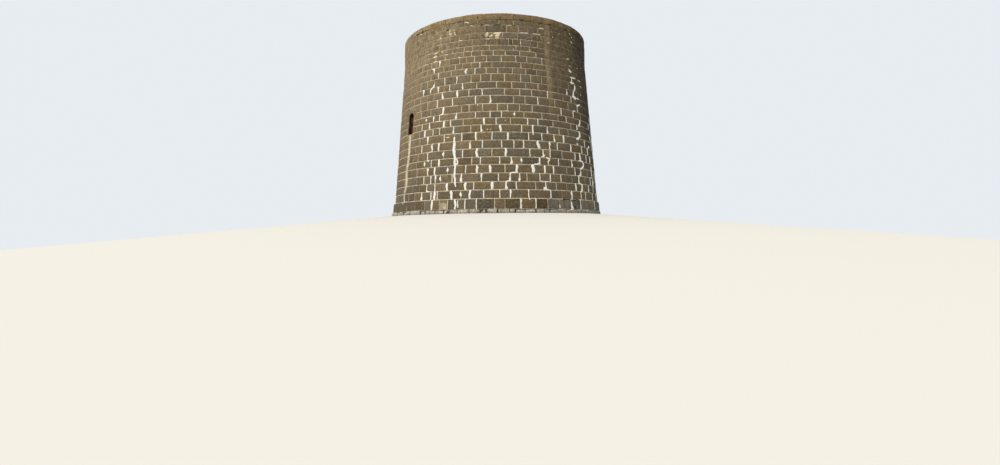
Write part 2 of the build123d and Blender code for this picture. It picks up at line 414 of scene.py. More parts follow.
# %% [markdown]
# ## Granite, mortar and lime
#
# Granite is a mass of crystals a few millimetres across, so close to it is speckled and from far off it
# is one brown-grey. Two noises at crystal size give the speckle, a wider one gives clouds, and each stone
# carries an attribute of its own (lightness, warmth, wear), because neighbouring blocks came from
# different beds of the quarry. Mortar is paler and smoother. Lime is nearly white and has no crystals.

# %% Stone finishes
def varied(finish, tone, crystal_scale, depth):
    """Brightness that changes with the stone, its clouds and its crystals."""
    crystals = finish.times(finish.centred(finish.noise(crystal_scale, 3.0)), depth)
    specks = finish.scaled(finish.centred(finish.noise(240.0, 1.0)), depth, crystals)
    clouds = finish.scaled(finish.centred(finish.noise(8.0)), 1.5, specks)
    return finish.math("ADD", finish.scaled(tone, 0.20, clouds), 1.0)


def rough_normal(finish, coarse, fine):
    """Punched and weathered stone: pits a few centimetres wide under a crystal grain."""
    pits = finish.bump(finish.noise(26.0, 5.0), coarse)
    return finish.bump(finish.noise(120.0, 3.0), fine, below=pits)


def stone_finish(name, brown, grey, lichen, lichen_share, bloom=1.0):
    """Squared granite between a brown and a grey, with spots of lichen."""
    stone = Weathered(name)
    tone, warmth, wear = stone.attribute("tone")
    clouds = stone.scaled(warmth, 0.14, stone.noise(0.9, 5.0))
    colour = stone.mix(stone.step(clouds, 0.30, 0.70), grey, brown)
    colour = stone.brighten(colour, varied(stone, tone, 85.0, 0.8))
    colour = stone.over(colour, stone.step(stone.streaks, 0.50, 0.72), 0.28, dark_growth_and_shade)
    spots = stone.step(stone.scaled(wear, 0.05, stone.noise(11.0, 6.0)), 0.60, 0.68)
    colour = stone.over(colour, spots, lichen_share, lichen)
    return stone.finish(stone.weather(colour, bloom), 0.9, rough_normal(stone, 0.010, 0.003), 0.2)


def mortar_finish():
    """Pointing smeared wide and pale over the joints, brown and thin near the top."""
    mortar = Weathered("mortar")
    colour = mortar.brighten(mortar.pointing(), varied(mortar, 0.0, 60.0, 0.5))
    return mortar.finish(mortar.weather(colour, 0.5, 0.5), 0.95, rough_normal(mortar, 0.006, 0.002), 0.1)


def lime_finish(name, dull, bright):
    """Lime leached out of the core and set on the face, white or, where it has weathered, cream. The same
    finish in near-black is painted shade for open joints.
    """
    lime = Finish(name)
    colour = lime.mix(lime.step(lime.noise(9.0), 0.30, 0.55), dull, bright)
    return lime.finish(colour, 0.8, rough_normal(lime, 0.006, 0.002), 0.3)


granite = stone_finish(
    "squared_granite", brown=(0.200, 0.147, 0.081), grey=(0.157, 0.132, 0.095),
    lichen=(0.34, 0.29, 0.19), lichen_share=0.40,
)
dressed = stone_finish(
    "dressed_granite", brown=(0.300, 0.210, 0.100), grey=(0.240, 0.178, 0.100),
    lichen=(0.46, 0.33, 0.12), lichen_share=0.7,
)
foundation = stone_finish(
    "foundation_stone", brown=(0.50, 0.46, 0.37), grey=(0.42, 0.40, 0.34),
    lichen=(0.68, 0.66, 0.58), lichen_share=0.8, bloom=0.2,
)
paving = stone_finish(
    "paving_stone", brown=(0.25, 0.22, 0.165), grey=(0.21, 0.20, 0.17),
    lichen=(0.40, 0.38, 0.29), lichen_share=0.6, bloom=0.2,
)
mortar = mortar_finish()
lime = lime_finish("leached_lime", (0.92, 0.90, 0.82), (0.98, 0.97, 0.91))
crust = lime_finish("cream_crust", (0.60, 0.50, 0.34), (0.86, 0.76, 0.54))
# painted shade: near-black strips stand for the shadow inside joints that have lost their mortar
joint_shade = lime_finish("open_joint", (0.020, 0.016, 0.010), (0.045, 0.034, 0.020))
print("stone finishes:", [each.name for each in (granite, dressed, foundation, paving, mortar, lime)])

# %% [markdown]
# ## Limewash, timber and iron
#
# The rooms are limewashed, which is a soft white that has greyed. Timber is drawn by a noise pulled out
# along the grain: the boards of the shutters and the door stand upright, so theirs is stretched along Z,
# the joists' along X and the floor boards' along Y. Red-oxide paint survives in patches over grey wood.

# %% Inside and joinery finishes
def washed(finish):
    """The colour of old limewash, on the vault and on the inside of the walls."""
    patches = finish.step(finish.noise(2.0, 6.0), 0.40, 0.66)
    return finish.mix(patches, (0.58, 0.56, 0.50), (0.42, 0.39, 0.32))


def limewash_finish():
    """Old limewash on the vault."""
    wash = Finish("limewash")
    colour = wash.brighten(washed(wash), varied(wash, 0.0, 40.0, 0.3))
    return wash.finish(colour, 0.9, rough_normal(wash, 0.008, 0.002), 0.2)


def timber_finish(name, along, pale, dark, paint=None):
    """Wood with its grain along a stretch, and paint that has worn off it in places."""
    wood = Finish(name)
    tone, warmth, wear = wood.attribute("tone")
    grain = wood.noise(1.0, 5.0, along)
    fibre = wood.noise(3.0, 3.0, along)
    colour = wood.mix(wood.step(grain, 0.36, 0.64), dark, pale)
    colour = wood.brighten(colour, wood.scaled(tone, 0.3, wood.math("ADD", fibre, 0.5)))
    if paint:
        flaked = wood.scaled(wear, 0.10, wood.scaled(fibre, 0.35, wood.noise(7.0, 6.0)))
        shade = wood.brighten(wood.mix(wood.noise(3.0), paint, dark), wood.math("ADD", fibre, 0.55))
        colour = wood.mix(wood.step(flaked, 0.90, 0.62), colour, shade)
    normal = wood.bump(fibre, 0.002, below=wood.bump(grain, 0.004))
    return wood.finish(colour, 0.75, normal, 0.3)


def iron_finish():
    """Wrought iron that has rusted all over."""
    iron = Finish("rusted_iron")
    rust = iron.step(iron.noise(30.0, 6.0), 0.38, 0.62)
    colour = iron.mix(rust, (0.055, 0.036, 0.028), (0.21, 0.075, 0.026))
    return iron.finish(colour, 0.8, rough_normal(iron, 0.002, 0.001), 0.4)


upright_grain = (38.0, 38.0, 1.6)
joist_grain = (1.4, 34.0, 34.0)
board_grain = (34.0, 1.4, 34.0)
pale_oak, dark_oak = (0.30, 0.22, 0.14), (0.17, 0.115, 0.07)
grey_wood, black_wood = (0.10, 0.075, 0.055), (0.022, 0.015, 0.011)
red_oxide = (0.19, 0.020, 0.006)
limewash = limewash_finish()
oak_joists = timber_finish("oak_joists", joist_grain, pale_oak, dark_oak)
oak_boards = timber_finish("oak_boards", board_grain, pale_oak, dark_oak)
painted = timber_finish("painted_boards", upright_grain, grey_wood, black_wood, red_oxide)
iron = iron_finish()
print("inside finishes:", [each.name for each in (limewash, oak_joists, oak_boards, painted, iron)])

# %% [markdown]
# ## The frame's own pieces
#
# The solid walls stay in view as what lies between the stones, so their outside is mortar. The same
# solids face the rooms, so one material has to be mortar outside and limewash inside: it chooses by how
# far a point is from the axis. The other pieces take the finish of what they are.

# %% Finishes for the frame
def wall_finish():
    """Mortar on the outside of the drum, limewash inside, and mortar in the well of the platform."""
    wall = Weathered("wall_core")
    outer = wall.step(wall.reach, well_radius - 0.10, well_radius + 0.30)
    colour = wall.mix(outer, washed(wall), wall.weather(wall.pointing(), 0.5, 0.5))
    colour = wall.brighten(colour, varied(wall, 0.0, 60.0, 0.5))
    return wall.finish(colour, 0.95, rough_normal(wall, 0.006, 0.002), 0.1)


def dress(material, *names):
    """Gives frame pieces a material."""
    for name in names:
        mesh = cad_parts[name].data
        mesh.materials.clear()
        mesh.materials.append(material)


wall_core = wall_finish()
node_names = sorted(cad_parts)
dress(wall_core, *[name for name in node_names if name.startswith(("wall_", "parapet_", "coping_"))])
dress(mortar, *[name for name in node_names if name.endswith(("_arch", "_sill"))])
dress(mortar, "plinth", "footing", "gun_platform_paving", "firing_step")
dress(paving, "ground_floor")
dress(limewash, "vault")
dress(oak_joists, "first_floor_joists")
dress(oak_boards, "first_floor_boards")
dress(painted, *[name for name in node_names if name.endswith(("_frame", "_shutters", "_leaf"))])
print("frame pieces dressed:", len(node_names))

# %% [markdown]
# ## Cutting stones
#
# A squared block is a cube made to size, divided so that its face can follow the round wall, with its
# arrises bevelled and every vertex moved a little by a smooth noise. It is easiest to do all that in flat
# space, with x along the course, y out of the wall and z up, for a whole length of wall at a time, and
# to bend the result round the tower last. A stone is written as its two corners and its own tone.

# %% The stone cutter
wall_gauge = 7.0


def own_tone(rng, dark_share=0.10):
    """Lightness, warmth and wear for one stone. A few are much darker or greyer than the rest."""
    lightness = rng.gauss(0, 0.38)
    warmth = rng.gauss(0.15, 0.5)
    if rng.random() < dark_share:
        lightness -= 0.7
    if rng.random() < 1.6 * dark_share:
        warmth -= 1.3
    return Vector((lightness, warmth, rng.gauss(0, 1)))


def add_box(bm, low, high):
    """Adds a box between two corners and gives back its vertices."""
    size = Matrix.Diagonal((*(high - low), 1))
    return bmesh.ops.create_cube(bm, size=1, matrix=Matrix.Translation((low + high) / 2) @ size)["verts"]


def cut_stones(stones, divisions, arris, dressed_side=None):
    """Squared stones in flat space, divided in x, y and z, with bevelled arrises round one side or all."""
    bm = bmesh.new()
    tone_layer = bm.faces.layers.float_vector.new("tone")
    for low, high, tone in stones:
        corners = add_box(bm, low, high)
        for face in {face for corner in corners for face in corner.link_faces}:
            face[tone_layer] = tone
    for axis, count in enumerate(divisions):
        if count > 1:
            across = [edge for edge in bm.edges if is_along(edge, axis)]
            bmesh.ops.subdivide_edges(bm, edges=across, cuts=count - 1, use_grid_fill=True)
    bm.normal_update()
    arrises = [edge for edge in bm.edges if is_arris(edge, dressed_side)]
    bmesh.ops.bevel(
        bm, geom=arrises, offset=arris, offset_type="OFFSET", segments=2, profile=0.5, affect="EDGES",
        clamp_overlap=True, material=-1,
    )
    return bm


def is_along(edge, axis):
    """Whether an edge runs along one axis of flat space."""
    run = edge.verts[1].co - edge.verts[0].co
    return abs(run[axis]) > 0.99 * run.length


def is_arris(edge, side):
    """Whether an edge is a corner of a stone, on its dressed side if that is given."""
    first, second = (face.normal for face in edge.link_faces)
    if first.dot(second) > 0.5:
        return False
    return side is None or max(first.dot(side), second.dot(side)) > 0.5


def roughen(bm, amount, scale, seed):
    """Moves every vertex by a smooth noise, so that faces undulate and arrises wander."""
    start = Vector((seed * 7.31, seed * 3.17, seed * 1.93))
    for vert in bm.verts:
        vert.co += noise.noise_vector(vert.co * scale + start) * amount


def bend(bm, place):
    """Carries a flat bmesh to where a function puts each of its points.

    Every bend used here is a mirror as well, so the faces are reversed to look outward again.
    """
    for vert in bm.verts:
        vert.co = place(vert.co)
    bmesh.ops.reverse_faces(bm, faces=bm.faces[:])


def round_axis(turn, radius, level):
    """A point at a turn from -Y, in radians, a distance from the axis and a level."""
    return Vector((radius * sin(turn), -radius * cos(turn), level))


def on_wall(point):
    """From flat space to the battered wall: x is measured round it, y stands out from its face."""
    return round_axis(point.x / wall_gauge, face_radius(point.z) + point.y, point.z)


def as_object(name, bm):
    """Turns a bmesh into an object of the scene."""
    mesh = bpy.data.meshes.new(name)
    bm.to_mesh(mesh)
    bm.free()
    made = bpy.data.objects.new(name, mesh)
    bpy.context.scene.collection.objects.link(made)
    return made


def add_part(bm, part):
    """Adds one bmesh to another."""
    mesh = bpy.data.meshes.new("part")
    part.to_mesh(mesh)
    part.free()
    bm.from_mesh(mesh)
    bpy.data.meshes.remove(mesh)


def disc(radius, middle, depth, segments, top_radius=None):
    """A closed disc round the tower's axis, or a cone if the top has a radius of its own."""
    bm = bmesh.new()
    bmesh.ops.create_cone(
        bm, cap_ends=True, segments=segments, radius1=radius, radius2=top_radius or radius, depth=depth,
        matrix=Matrix.Translation((0, 0, middle)),
    )
    return bm


def finished(name, bm, material, crease=42):
    """Turns a bmesh into a piece of the tower, which rides on the frame's one body."""
    piece = as_object(name, bm)
    mesh = piece.data
    mesh.polygons.foreach_set("use_smooth", [True] * len(mesh.polygons))
    mesh.set_sharp_from_angle(angle=radians(crease))
    mesh.materials.append(material)
    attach(piece, "root")
    mesh.calc_loop_triangles()
    print(name, len(mesh.loop_triangles), "triangles")
    return piece


def lay(name, stones, cut, rough, place, material, crease=42):
    """Cuts stones, roughens them, bends them to their place and makes them one piece.

    cut gives the divisions, the arris and the dressed side; rough gives the amount, the scale and the
    seed of each noise.
    """
    bm = cut_stones(stones, *cut)
    for amount, scale, seed in rough:
        roughen(bm, amount, scale, seed)
    bend(bm, place)
    return finished(name, bm, material, crease)


print("the stone cutter is ready")

# %% [markdown]
# ## The openings
#
# Two windows and a doorway pierce the drum. Each is read from its frame pieces, turned so that it faces
# -Y, which makes one set of rules serve all three. The stones round an opening are laid like any others
# and then cut by boolean tools the shape of the opening, the arch ring and the sill's bed, as a mason
# would trim them on the spot. A boolean is the plain way to get those odd shapes exactly right. The faces
# of a bent stone aren't flat, so they are split into triangles first, which leaves the solver no doubt
# where they lie.

# %% The openings and the tools that cut round them
ring_depth = 0.30
joint = 0.016
outward = Vector((0, 1, 0))


def box_mesh(low, high):
    """A plain closed box between two corners."""
    bm = bmesh.new()
    add_box(bm, Vector(low), Vector(high))
    return bm


class Opening:
    """An arched opening, read from its frame pieces and turned to face -Y."""

    def __init__(self, name, leaf, bearing):
        self.name = name
        self.bearing = bearing
        self.turn = Matrix.Rotation(radians(bearing), 4, "Z")
        arch_low, arch_high = self.local_box("arch")
        self.sill_low, self.sill_high = self.local_box("sill")
        self.leaf_low, self.leaf_high = self.local_box(leaf)
        self.frame_front = -self.local_box("frame")[0].y
        self.half = arch_high.x - ring_depth
        self.springing = arch_low.z
        self.rise = arch_high.z - ring_depth - arch_low.z
        self.radius = (self.half**2 + self.rise**2) / (2 * self.rise)
        self.centre = self.springing + self.rise - self.radius

    def local_box(self, part):
        back = self.turn.inverted()
        points = [back @ vert.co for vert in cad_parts[f"{self.name}_{part}"].data.vertices]
        low = Vector([min(point[axis] for point in points) for axis in range(3)])
        high = Vector([max(point[axis] for point in points) for axis in range(3)])
        return low, high

    def prism(self, grow, foot, front, back):
        """A closed prism under the curve of the arch, wider by grow, between two distances from the axis."""
        half = self.half + grow
        radius = self.radius + grow
        lean = asin(min(1, half / radius))
        bm = bmesh.new()
        start = bmesh.ops.create_vert(bm, co=(half, -front, self.centre + radius * cos(lean)))["vert"]
        centre = (0, -front, self.centre)
        bmesh.ops.spin(bm, geom=start, cent=centre, axis=(0, 1, 0), angle=-2 * lean, steps=14)
        ends = [vert for vert in bm.verts if len(vert.link_edges) == 1]
        feet = bmesh.ops.extrude_vert_indiv(bm, verts=ends)["verts"]
        for vert in feet:
            vert.co.z = foot
        bmesh.ops.contextual_create(bm, geom=feet)
        bmesh.ops.edgeloop_fill(bm, edges=bm.edges[:])
        pulled = bmesh.ops.extrude_face_region(bm, geom=bm.faces[:])["geom"]
        verts = [each for each in pulled if isinstance(each, bmesh.types.BMVert)]
        bmesh.ops.translate(bm, verts=verts, vec=(0, front - back, 0))
        bmesh.ops.recalc_face_normals(bm, faces=bm.faces[:])
        return bm

    def tools(self):
        """What is cut out of the stones round the opening."""
        face = face_radius(self.sill_low.z) + 0.3
        behind = self.frame_front - 1
        side = self.sill_high.x + joint / 2
        return [
            self.prism(-0.005, self.sill_high.z - 0.02, face, behind),
            self.prism(ring_depth + joint, self.springing - joint, face, behind),
            box_mesh((-side, -face, self.sill_low.z - joint), (side, -behind, self.sill_high.z)),
            self.prism(0.10, self.sill_high.z - 0.04, self.frame_front + 0.003, behind - 0.1),
        ]


def carve(piece, tools, turn, operation="DIFFERENCE"):
    """Cuts tools, turned to their opening, out of a piece, and then throws them away."""
    whole = bmesh.new()
    whole.from_mesh(piece.data)
    bmesh.ops.triangulate(whole, faces=whole.faces[:])
    whole.to_mesh(piece.data)
    whole.free()
    cutters = []
    for number, bm in enumerate(tools):
        bmesh.ops.transform(bm, matrix=turn, verts=bm.verts[:])
        cutter = as_object(f"cutter_{number}", bm)
        cutters.append(cutter)
        cut = piece.modifiers.new(f"cut_{number}", "BOOLEAN")
        cut.object = cutter
        cut.operation = operation
        cut.solver = "MANIFOLD"
    ready = piece.evaluated_get(bpy.context.evaluated_depsgraph_get())
    cut_mesh = bpy.data.meshes.new_from_object(ready)
    piece.modifiers.clear()
    plain = piece.data
    piece.data = cut_mesh
    bpy.data.meshes.remove(plain)
    for cutter in cutters:
        bpy.data.meshes.remove(cutter.data)
    cut_mesh.calc_loop_triangles()
    print(piece.name, "after cutting", len(cut_mesh.loop_triangles), "triangles")


left_window = Opening("left_window", "shutters", -90)
right_window = Opening("right_window", "shutters", 90)
doorway = Opening("back_door", "leaf", 180)
openings = [left_window, right_window, doorway]
for each in openings:
    print(each.name, f"{2 * each.half:.2f} m wide, springing at {each.springing:.2f} m")

# %% [markdown]
# ## Courses and joints
#
# The wall has twenty-five courses over the plinth, tall at the foot and shallower as they rise. Their
# heights and the places of their upright joints are read from the photograph, so the bond on the
# seen side is the real one. A slash ends a course. A letter after an angle marks what fills the joint: c
# is a wide band of pale mortar, W a broad run of lime, w a thin one, D one with a drop at its foot, T one
# that is broad at the top and B a blob. A few blocks have a lightness and a warmth of their own, each
# given by its course and an angle on it. The far side gets a bond of its own: blocks of ordinary lengths,
# whose joints keep off those of the course below.

# %% The courses
course_heights = (
    0.53, 0.49, 0.52, 0.52, 0.46, 0.52, 0.51, 0.49, 0.46, 0.42, 0.40, 0.47, 0.51,
    0.44, 0.42, 0.50, 0.38, 0.36, 0.40, 0.33, 0.31, 0.41, 0.38, 0.46, 0.32,
)
plinth_joints = """
-61.3 -53.4 -46.0 -38.5 -33.9W -29.3 -24.7c -20.7W -15.7w -10.1w -1.7c 3.1 10.4W 17.7w 23.7c 30.1 37.5
44.5w 54.5 60.0w
"""
seen_joints = """
-58.5 -53.4 -47.5 -41.9D -35.4w -33.0W -31.2w -23.1W -18.1B -13.6W -6.8w 0.8w 5.8T 14.6w 26.1w 32.6 39.1W
46.6w 51.0w 60.2w / -56.0 -50.0 -44.0 -38.4w -33.0w -25.5W -15.8W -11.7w -2.9W 3.9D 8.7w 18.2c 23.5D 29.5c
36.0 42.9W 48.2W 55.3D / -60.0 -53.0 -46.8 -40.8w -36.0w -32.8T -29.7B -23.0w -18.1D -7.9T 0.2w 5.9D 10.4D
14.0c 20.6w 26.3w 32.5w 40.3 45.7w 52.0c 58.7w 63.7w / -57.0 -51.5 -46.8c -38.2T -33.6W -25.7B -21.5
-15.8w -10.3W -3.7W 3.4c 9.2W 17.4W 23.5W 28.4W 36.9c 43.2w 48.2w 55.6c 62.5w / -60.0 -54.0 -47.5 -41.1B
-36.1w -31.1W -20.6 -12.8c -8.5w 1.0w 6.6D 11.6B 20.8W 25.6 31.7w 40.8D 51.1 58.7c 64.3 / -57.0 -51.5
-46.6c -38.8w -28.4B -22.0 -17.6w -10.2W -2.8c 4.0W 15.9w 23.0D 27.0w 34.3c 44.0w 48.6 55.5w 61.0w / -55.5
-49.5 -43.6w -35.9W -31.5W -22.4 -13.6D -7.4w 2.0w 8.0w 12.9w 20.4 27.0T 31.6w 41.0W 51.1w 58.6W / -57.5
-51.5 -45.6c -39.4T -28.2w -22.2 -18.1w -10.8W -2.6w 5.2W 15.6w 22.8w 29.8D 36.1W 46.8 55.2w 61.9 / -59.0
-52.8 -46.6c -41.8W -35.6w -31.3w -22.8D -13.5c -8.1D 1.6W 12.1w 18.0 26.1D 33.4c 39.9c 49.5 56.5 / -61.0
-55.5 -50.0 -44.4w -38.4D -28.8W -24.6w -17.6c -6.6W -0.6w 6.6c 15.4w 20.9w 29.8c 42.6c 47.7 55.0 61.5 /
-59.0 -53.0 -47.0 -41.2B -35.6T -31.6w -21.5D -11.1w -3.6w 2.2w 8.8B 13.6c 23.4c 33.3c 39.1w 51.2 58.5 /
-60.0 -52.0 -45.6c -38.0c -29.4W -18.6c -14.5c -7.4c 0.1c 5.3c 11.4c 18.1c 28.0 35.6w 45.2w 53.0c 59.5 /
-58.0 -52.5 -46.5c -40.9c -33.5w -23.8w -11.1w -3.3D 8.4c 14.4c 21.4w 31.8c 41.3c 50.0w 57.0 / -59.5 -53.5
-47.0c -41.5 -36.2c -30.4D -21.1W -14.7c -7.6w 3.9c 11.8c 18.2c 27.4w 37.7c 44.4w 50.0 58.0 / -56.5 -50.5
-44.6T -38.8 -33.3T -29.5 -25.8w -18.2D -10.5c -0.1c 7.7c 15.0 22.0c 28.5 34.8 41.3D 47.4 55.5 / -59.0
-53.0 -47.6c -41.8c -36.2c -29.0w -21.6w -13.6c -8.4c -3.0c 4.0c 12.5c 18.0c 24.3 30.7 37.0 43.4c 49.2
57.5 / -57.0 -51.0 -45.0 -39.2c -33.5w -25.2c -16.3 -11.5w -5.5c 0.6c 8.3c 15.5c 21.5 27.8 34.0 40.3 46.5w
54.0 61.0 / -60.0 -54.0 -48.0 -42.2c -36.7T -30.2c -22.8c -18.6 -13.6 -8.8w -2.4 3.9 12.9c 20.1 27.8 35.0
43.5c 49.3c 54.1 / -58.5 -52.5 -46.8c -39.0c -32.9T -26.4 -20.3c -16.2 -11.8c -5.3c 2.5c 10.2c 16.2c 25.1c
31.8c 40.5 46.0 53.0 60.0 / -57.5 -52.0 -46.4 -40.9 -35.4 -29.2c -23.3 -18.1 -13.4c -7.9c -1.7c 4.7c 12.4c
21.7c 29.0 38.8 44.3 51.0 58.0 / -60.5 -54.0 -48.0 -42.0 -36.5 -31.2 -24.6 -17.6c -12.8 -3.8c 2.1 10.5
18.2c 27.7 37.5 44.5 53.5 61.5 / -57.5 -51.0 -45.0 -39.0 -33.6 -28.8 -21.0 -13.2 -5.5 0.4 6.6 8.9 13.2c
18.7 22.9c 31.0 38.3 46.0 54.5 / -60.5 -53.0 -46.0 -39.2 -32.8 -26.4 -20.8 -14.8 -8.4 -2.5 3.4 11.5 19.6
25.0 32.3c 41.0 48.0 56.0 / -57.0 -48.5 -40.3 -32.7 -28.3 -20.0 -11.7c -6.0 5.5c 12.1c 17.3 23.1c 30.0
36.8c 43.6 50.4 58.5 / -61.0 -52.0 -43.0 -36.3 -29.5 -24.2 -17.1 -10.0 -3.0 1.3c 9.4c 14.5 24.7 34.9 43.5
52.5 62.0
"""
own_blocks = (
    (0, 20.7, -2.5, 1.5), (0, 27.0, 0.0, -1.8), (0, 34.5, 0.7, -2.2), (0, 42.0, -2.9, 0.6),
    (0, 50.0, 0.7, -2.2), (0, 0.0, -0.3, 1.0), (0, 7.0, -1.8, 0.6), (0, 14.0, -0.7, 0.9),
    (0, -27.0, 1.0, 0.4), (16, -32, -0.2, -1.5), (22, -36.4, -1.5, 0.3), (22, 7.6, -2.3, 0.3),
    (22, 20.8, -1.4, 0.3), (23, -0.5, 1.2, 1.4), (9, 53, 0.4, 0.8),
)


def bed_levels(heights, foot, top):
    """Levels of the beds of courses that fill a height exactly."""
    stretch = (top - foot) / sum(heights)
    levels = [foot]
    for height in heights:
        levels.append(levels[-1] + height * stretch)
    return levels


def read_joints(text):
    """Pairs of an angle and a mark."""
    words = text.split()
    return [(float(word.rstrip("cWwDTB")), word[-1] if word[-1].isalpha() else "") for word in words]


def far_joints(start, end, below, limed, rng):
    """Joints for the far side, each kept off the joints of the course below, plain beside the seen side."""
    joints = []
    angle = start
    while True:
        for attempt in range(8):
            place = angle + rng.uniform(5.2, 10.0)
            if min([abs(place - other) for other, mark in below] or [9]) > 1.8:
                break
        if end - place < 4.5:
            return joints
        shares = (0.22 * limed, 0.10 * limed, 0.08 * limed, 0.06 * limed, 0.5 * limed, 0.25, 1.0 - limed)
        mark = rng.choices(("W", "D", "T", "B", "w", "c", ""), shares)[0]
        if place > 282 or (limed < 0.5 and place < 85):
            mark = ""
        joints.append((place, mark))
        angle = place


def whole_ring(text, below, limed, rng):
    """The joints of a course all the way round, from the seen ones."""
    seen = read_joints(text)
    return seen + far_joints(seen[-1][0], seen[0][0] + 360, below, limed, rng)


bond_rng = random.Random(14)
beds = bed_levels(course_heights, plinth_top, coping_bed)
courses = [(footing_top, plinth_top, whole_ring(plinth_joints, [], 0.6, bond_rng))]
for number, text in enumerate(seen_joints.split("/")):
    limed = 0.75 if number < 12 else 0.35
    ring = whole_ring(text, courses[-1][2], limed, bond_rng)
    courses.append((beds[number], beds[number + 1], ring))
print(len(courses), "courses with", sum(len(ring) for low, high, ring in courses), "stones")

# %% [markdown]
# ## The stones of the drum
#
# The blocks stand a few millimetres out from the frame's wall, each by its own amount, so the wall shows
# between them as mortar. They are joined into one piece for each length of wall. Those that touch an
# opening go into a piece of their own, which the opening's tools then cut.

# %% The stones of the drum
lengths = ("front", "front_right", "right", "back_right", "back", "back_left", "left", "front_left")
edge_error = 1.9
half_joint = {"": 0.014, "c": 0.028, "w": 0.018, "W": 0.020, "D": 0.018, "T": 0.018, "B": 0.016}
stone_depth = (0.30, 0.42)
stone_relief = (0.005, 0.014)


def flat_x(angle):
    """Place along the wall of an angle measured from the photograph's line of sight."""
    angle += edge_error * sin(radians(angle)) ** 2
    return radians(angle + photo_bearing) * wall_gauge


def bed_half_joint(level):
    """Half the thickness of a bed joint, which thins out above two thirds of the height."""
    share = (level - footing_top) / photo_height
    return 0.022 if share < 0.62 else 0.016


def course_stones(number, low, high, ring, rng):
    """The blocks of one course, in flat space."""
    stones = []
    closed = [*ring, (ring[0][0] + 360, ring[0][1])]
    for (left, left_mark), (right, right_mark) in zip(closed, closed[1:]):
        tone = own_tone(rng)
        for course, angle, lightness, warmth in own_blocks:
            if course == number and left < angle < right:
                tone = Vector((lightness, warmth, 0))
        start_x = flat_x(left) + half_joint[left_mark]
        end_x = flat_x(right) - half_joint[right_mark]
        start = Vector((start_x, -rng.uniform(*stone_depth), low + bed_half_joint(low)))
        end = Vector((end_x, rng.uniform(*stone_relief), high - bed_half_joint(high)))
        stones.append((start, end, tone))
    return stones


def meets(stone, opening):
    """Whether a stone touches an opening, its arch ring or its sill."""
    low, high, tone = stone
    reach = (opening.half + ring_depth + 0.1) * wall_gauge / opening.frame_front
    middle = radians(opening.bearing) * wall_gauge
    beside = low.x < middle + reach and high.x > middle - reach
    crown = opening.springing + opening.rise + ring_depth
    return beside and low.z < crown + 0.1 and high.z > opening.sill_low.z - 0.1


stone_rng = random.Random(33)
by_length = {name: [] for name in lengths}
by_opening = {opening.name: [] for opening in openings}
for number, (low, high, ring) in enumerate(courses[1:], 1):
    for stone in course_stones(number, low, high, ring, stone_rng):
        met = [opening for opening in openings if meets(stone, opening)]
        if met:
            by_opening[met[0].name].append(stone)
            continue
        bearing = degrees((stone[0].x + stone[1].x) / 2 / wall_gauge)
        by_length[lengths[round(bearing / 45) % 8]].append(stone)


def wall_piece(name, stones, seed):
    """Lays a list of blocks on the wall."""
    rough = ((0.007, 4.0, seed), (0.003, 15.0, seed + 1))
    return lay(name, stones, ((6, 1, 3), 0.011, outward), rough, on_wall, granite)


for seed, (name, stones) in enumerate(by_length.items()):
    wall_piece(f"wall_{name}_stones", stones, seed)
for seed, opening in enumerate(openings):
    around = wall_piece(f"{opening.name}_jamb_stones", by_opening[opening.name], seed + 10)
    carve(around, opening.tools(), opening.turn)

# %% [markdown]
# ## Arch stones and sills
#
# Each arch is a ring of wedge-shaped stones. In flat space they are square blocks again: x runs along the
# curve and z is the distance from the arch's centre, and the bend turns the one into the other, so the
# wedges come by themselves. The lowest stones are made too long and are trimmed by planes at the
# springing and at the ring's sides. The arch of the frame stays behind them as the mortar.

# %% Arch stones and sills
working_depth = 0.35


def on_opening(opening, lateral, level, share):
    """A point of an opening's face or depth: share is 0 in the plane of the frame and 1 on the wall."""
    face = sqrt(max(face_radius(level) ** 2 - lateral**2, 0))
    out = opening.frame_front + (face - opening.frame_front) * share
    return Vector((lateral, -out, level))


def trim(bm, point, side):
    """Cuts away what lies beyond a plane, and closes the stones again."""
    geometry = [*bm.verts, *bm.edges, *bm.faces]
    bmesh.ops.bisect_plane(bm, geom=geometry, plane_co=point, plane_no=side, clear_outer=True)
    bmesh.ops.holes_fill(bm, edges=[edge for edge in bm.edges if edge.is_boundary])


def arch_stones(opening, count, rng):
    """The wedge-shaped stones over an opening."""
    lean = asin(opening.half / opening.radius)
    gauge = opening.radius + ring_depth / 2
    pitch = 2 * lean * gauge / (count - 1.1)
    stones = []
    for number in range(count):
        middle = (number - (count - 1) / 2) * pitch
        low = Vector((middle - pitch / 2 + joint / 2, 0.004, opening.radius - 0.006))
        high = Vector((middle + pitch / 2 - joint / 2, 0, opening.radius + ring_depth - joint / 2))
        if number in (0, count - 1):
            low.x -= 0.3 if number == 0 else 0
            high.x += 0.3 if number else 0
            high.z += 0.3
        high.y = working_depth + rng.uniform(0.008, 0.020)
        stones.append((low, high, own_tone(rng)))
    bm = cut_stones(stones, (3, 1, 3), 0.010, outward)
    roughen(bm, 0.003, 9.0, opening.bearing)

    def place(point):
        angle = point.x / gauge
        level = opening.centre + point.z * cos(angle)
        return on_opening(opening, point.z * sin(angle), level, point.y / working_depth)

    bend(bm, place)
    trim(bm, (0, 0, opening.springing + joint / 2), (0, 0, -1))
    for way in (-1, 1):
        trim(bm, (way * (opening.half + ring_depth - joint / 2), 0, 0), (way, 0, 0))
    bmesh.ops.transform(bm, matrix=opening.turn, verts=bm.verts[:])
    finished(f"{opening.name}_arch_stones", bm, granite)


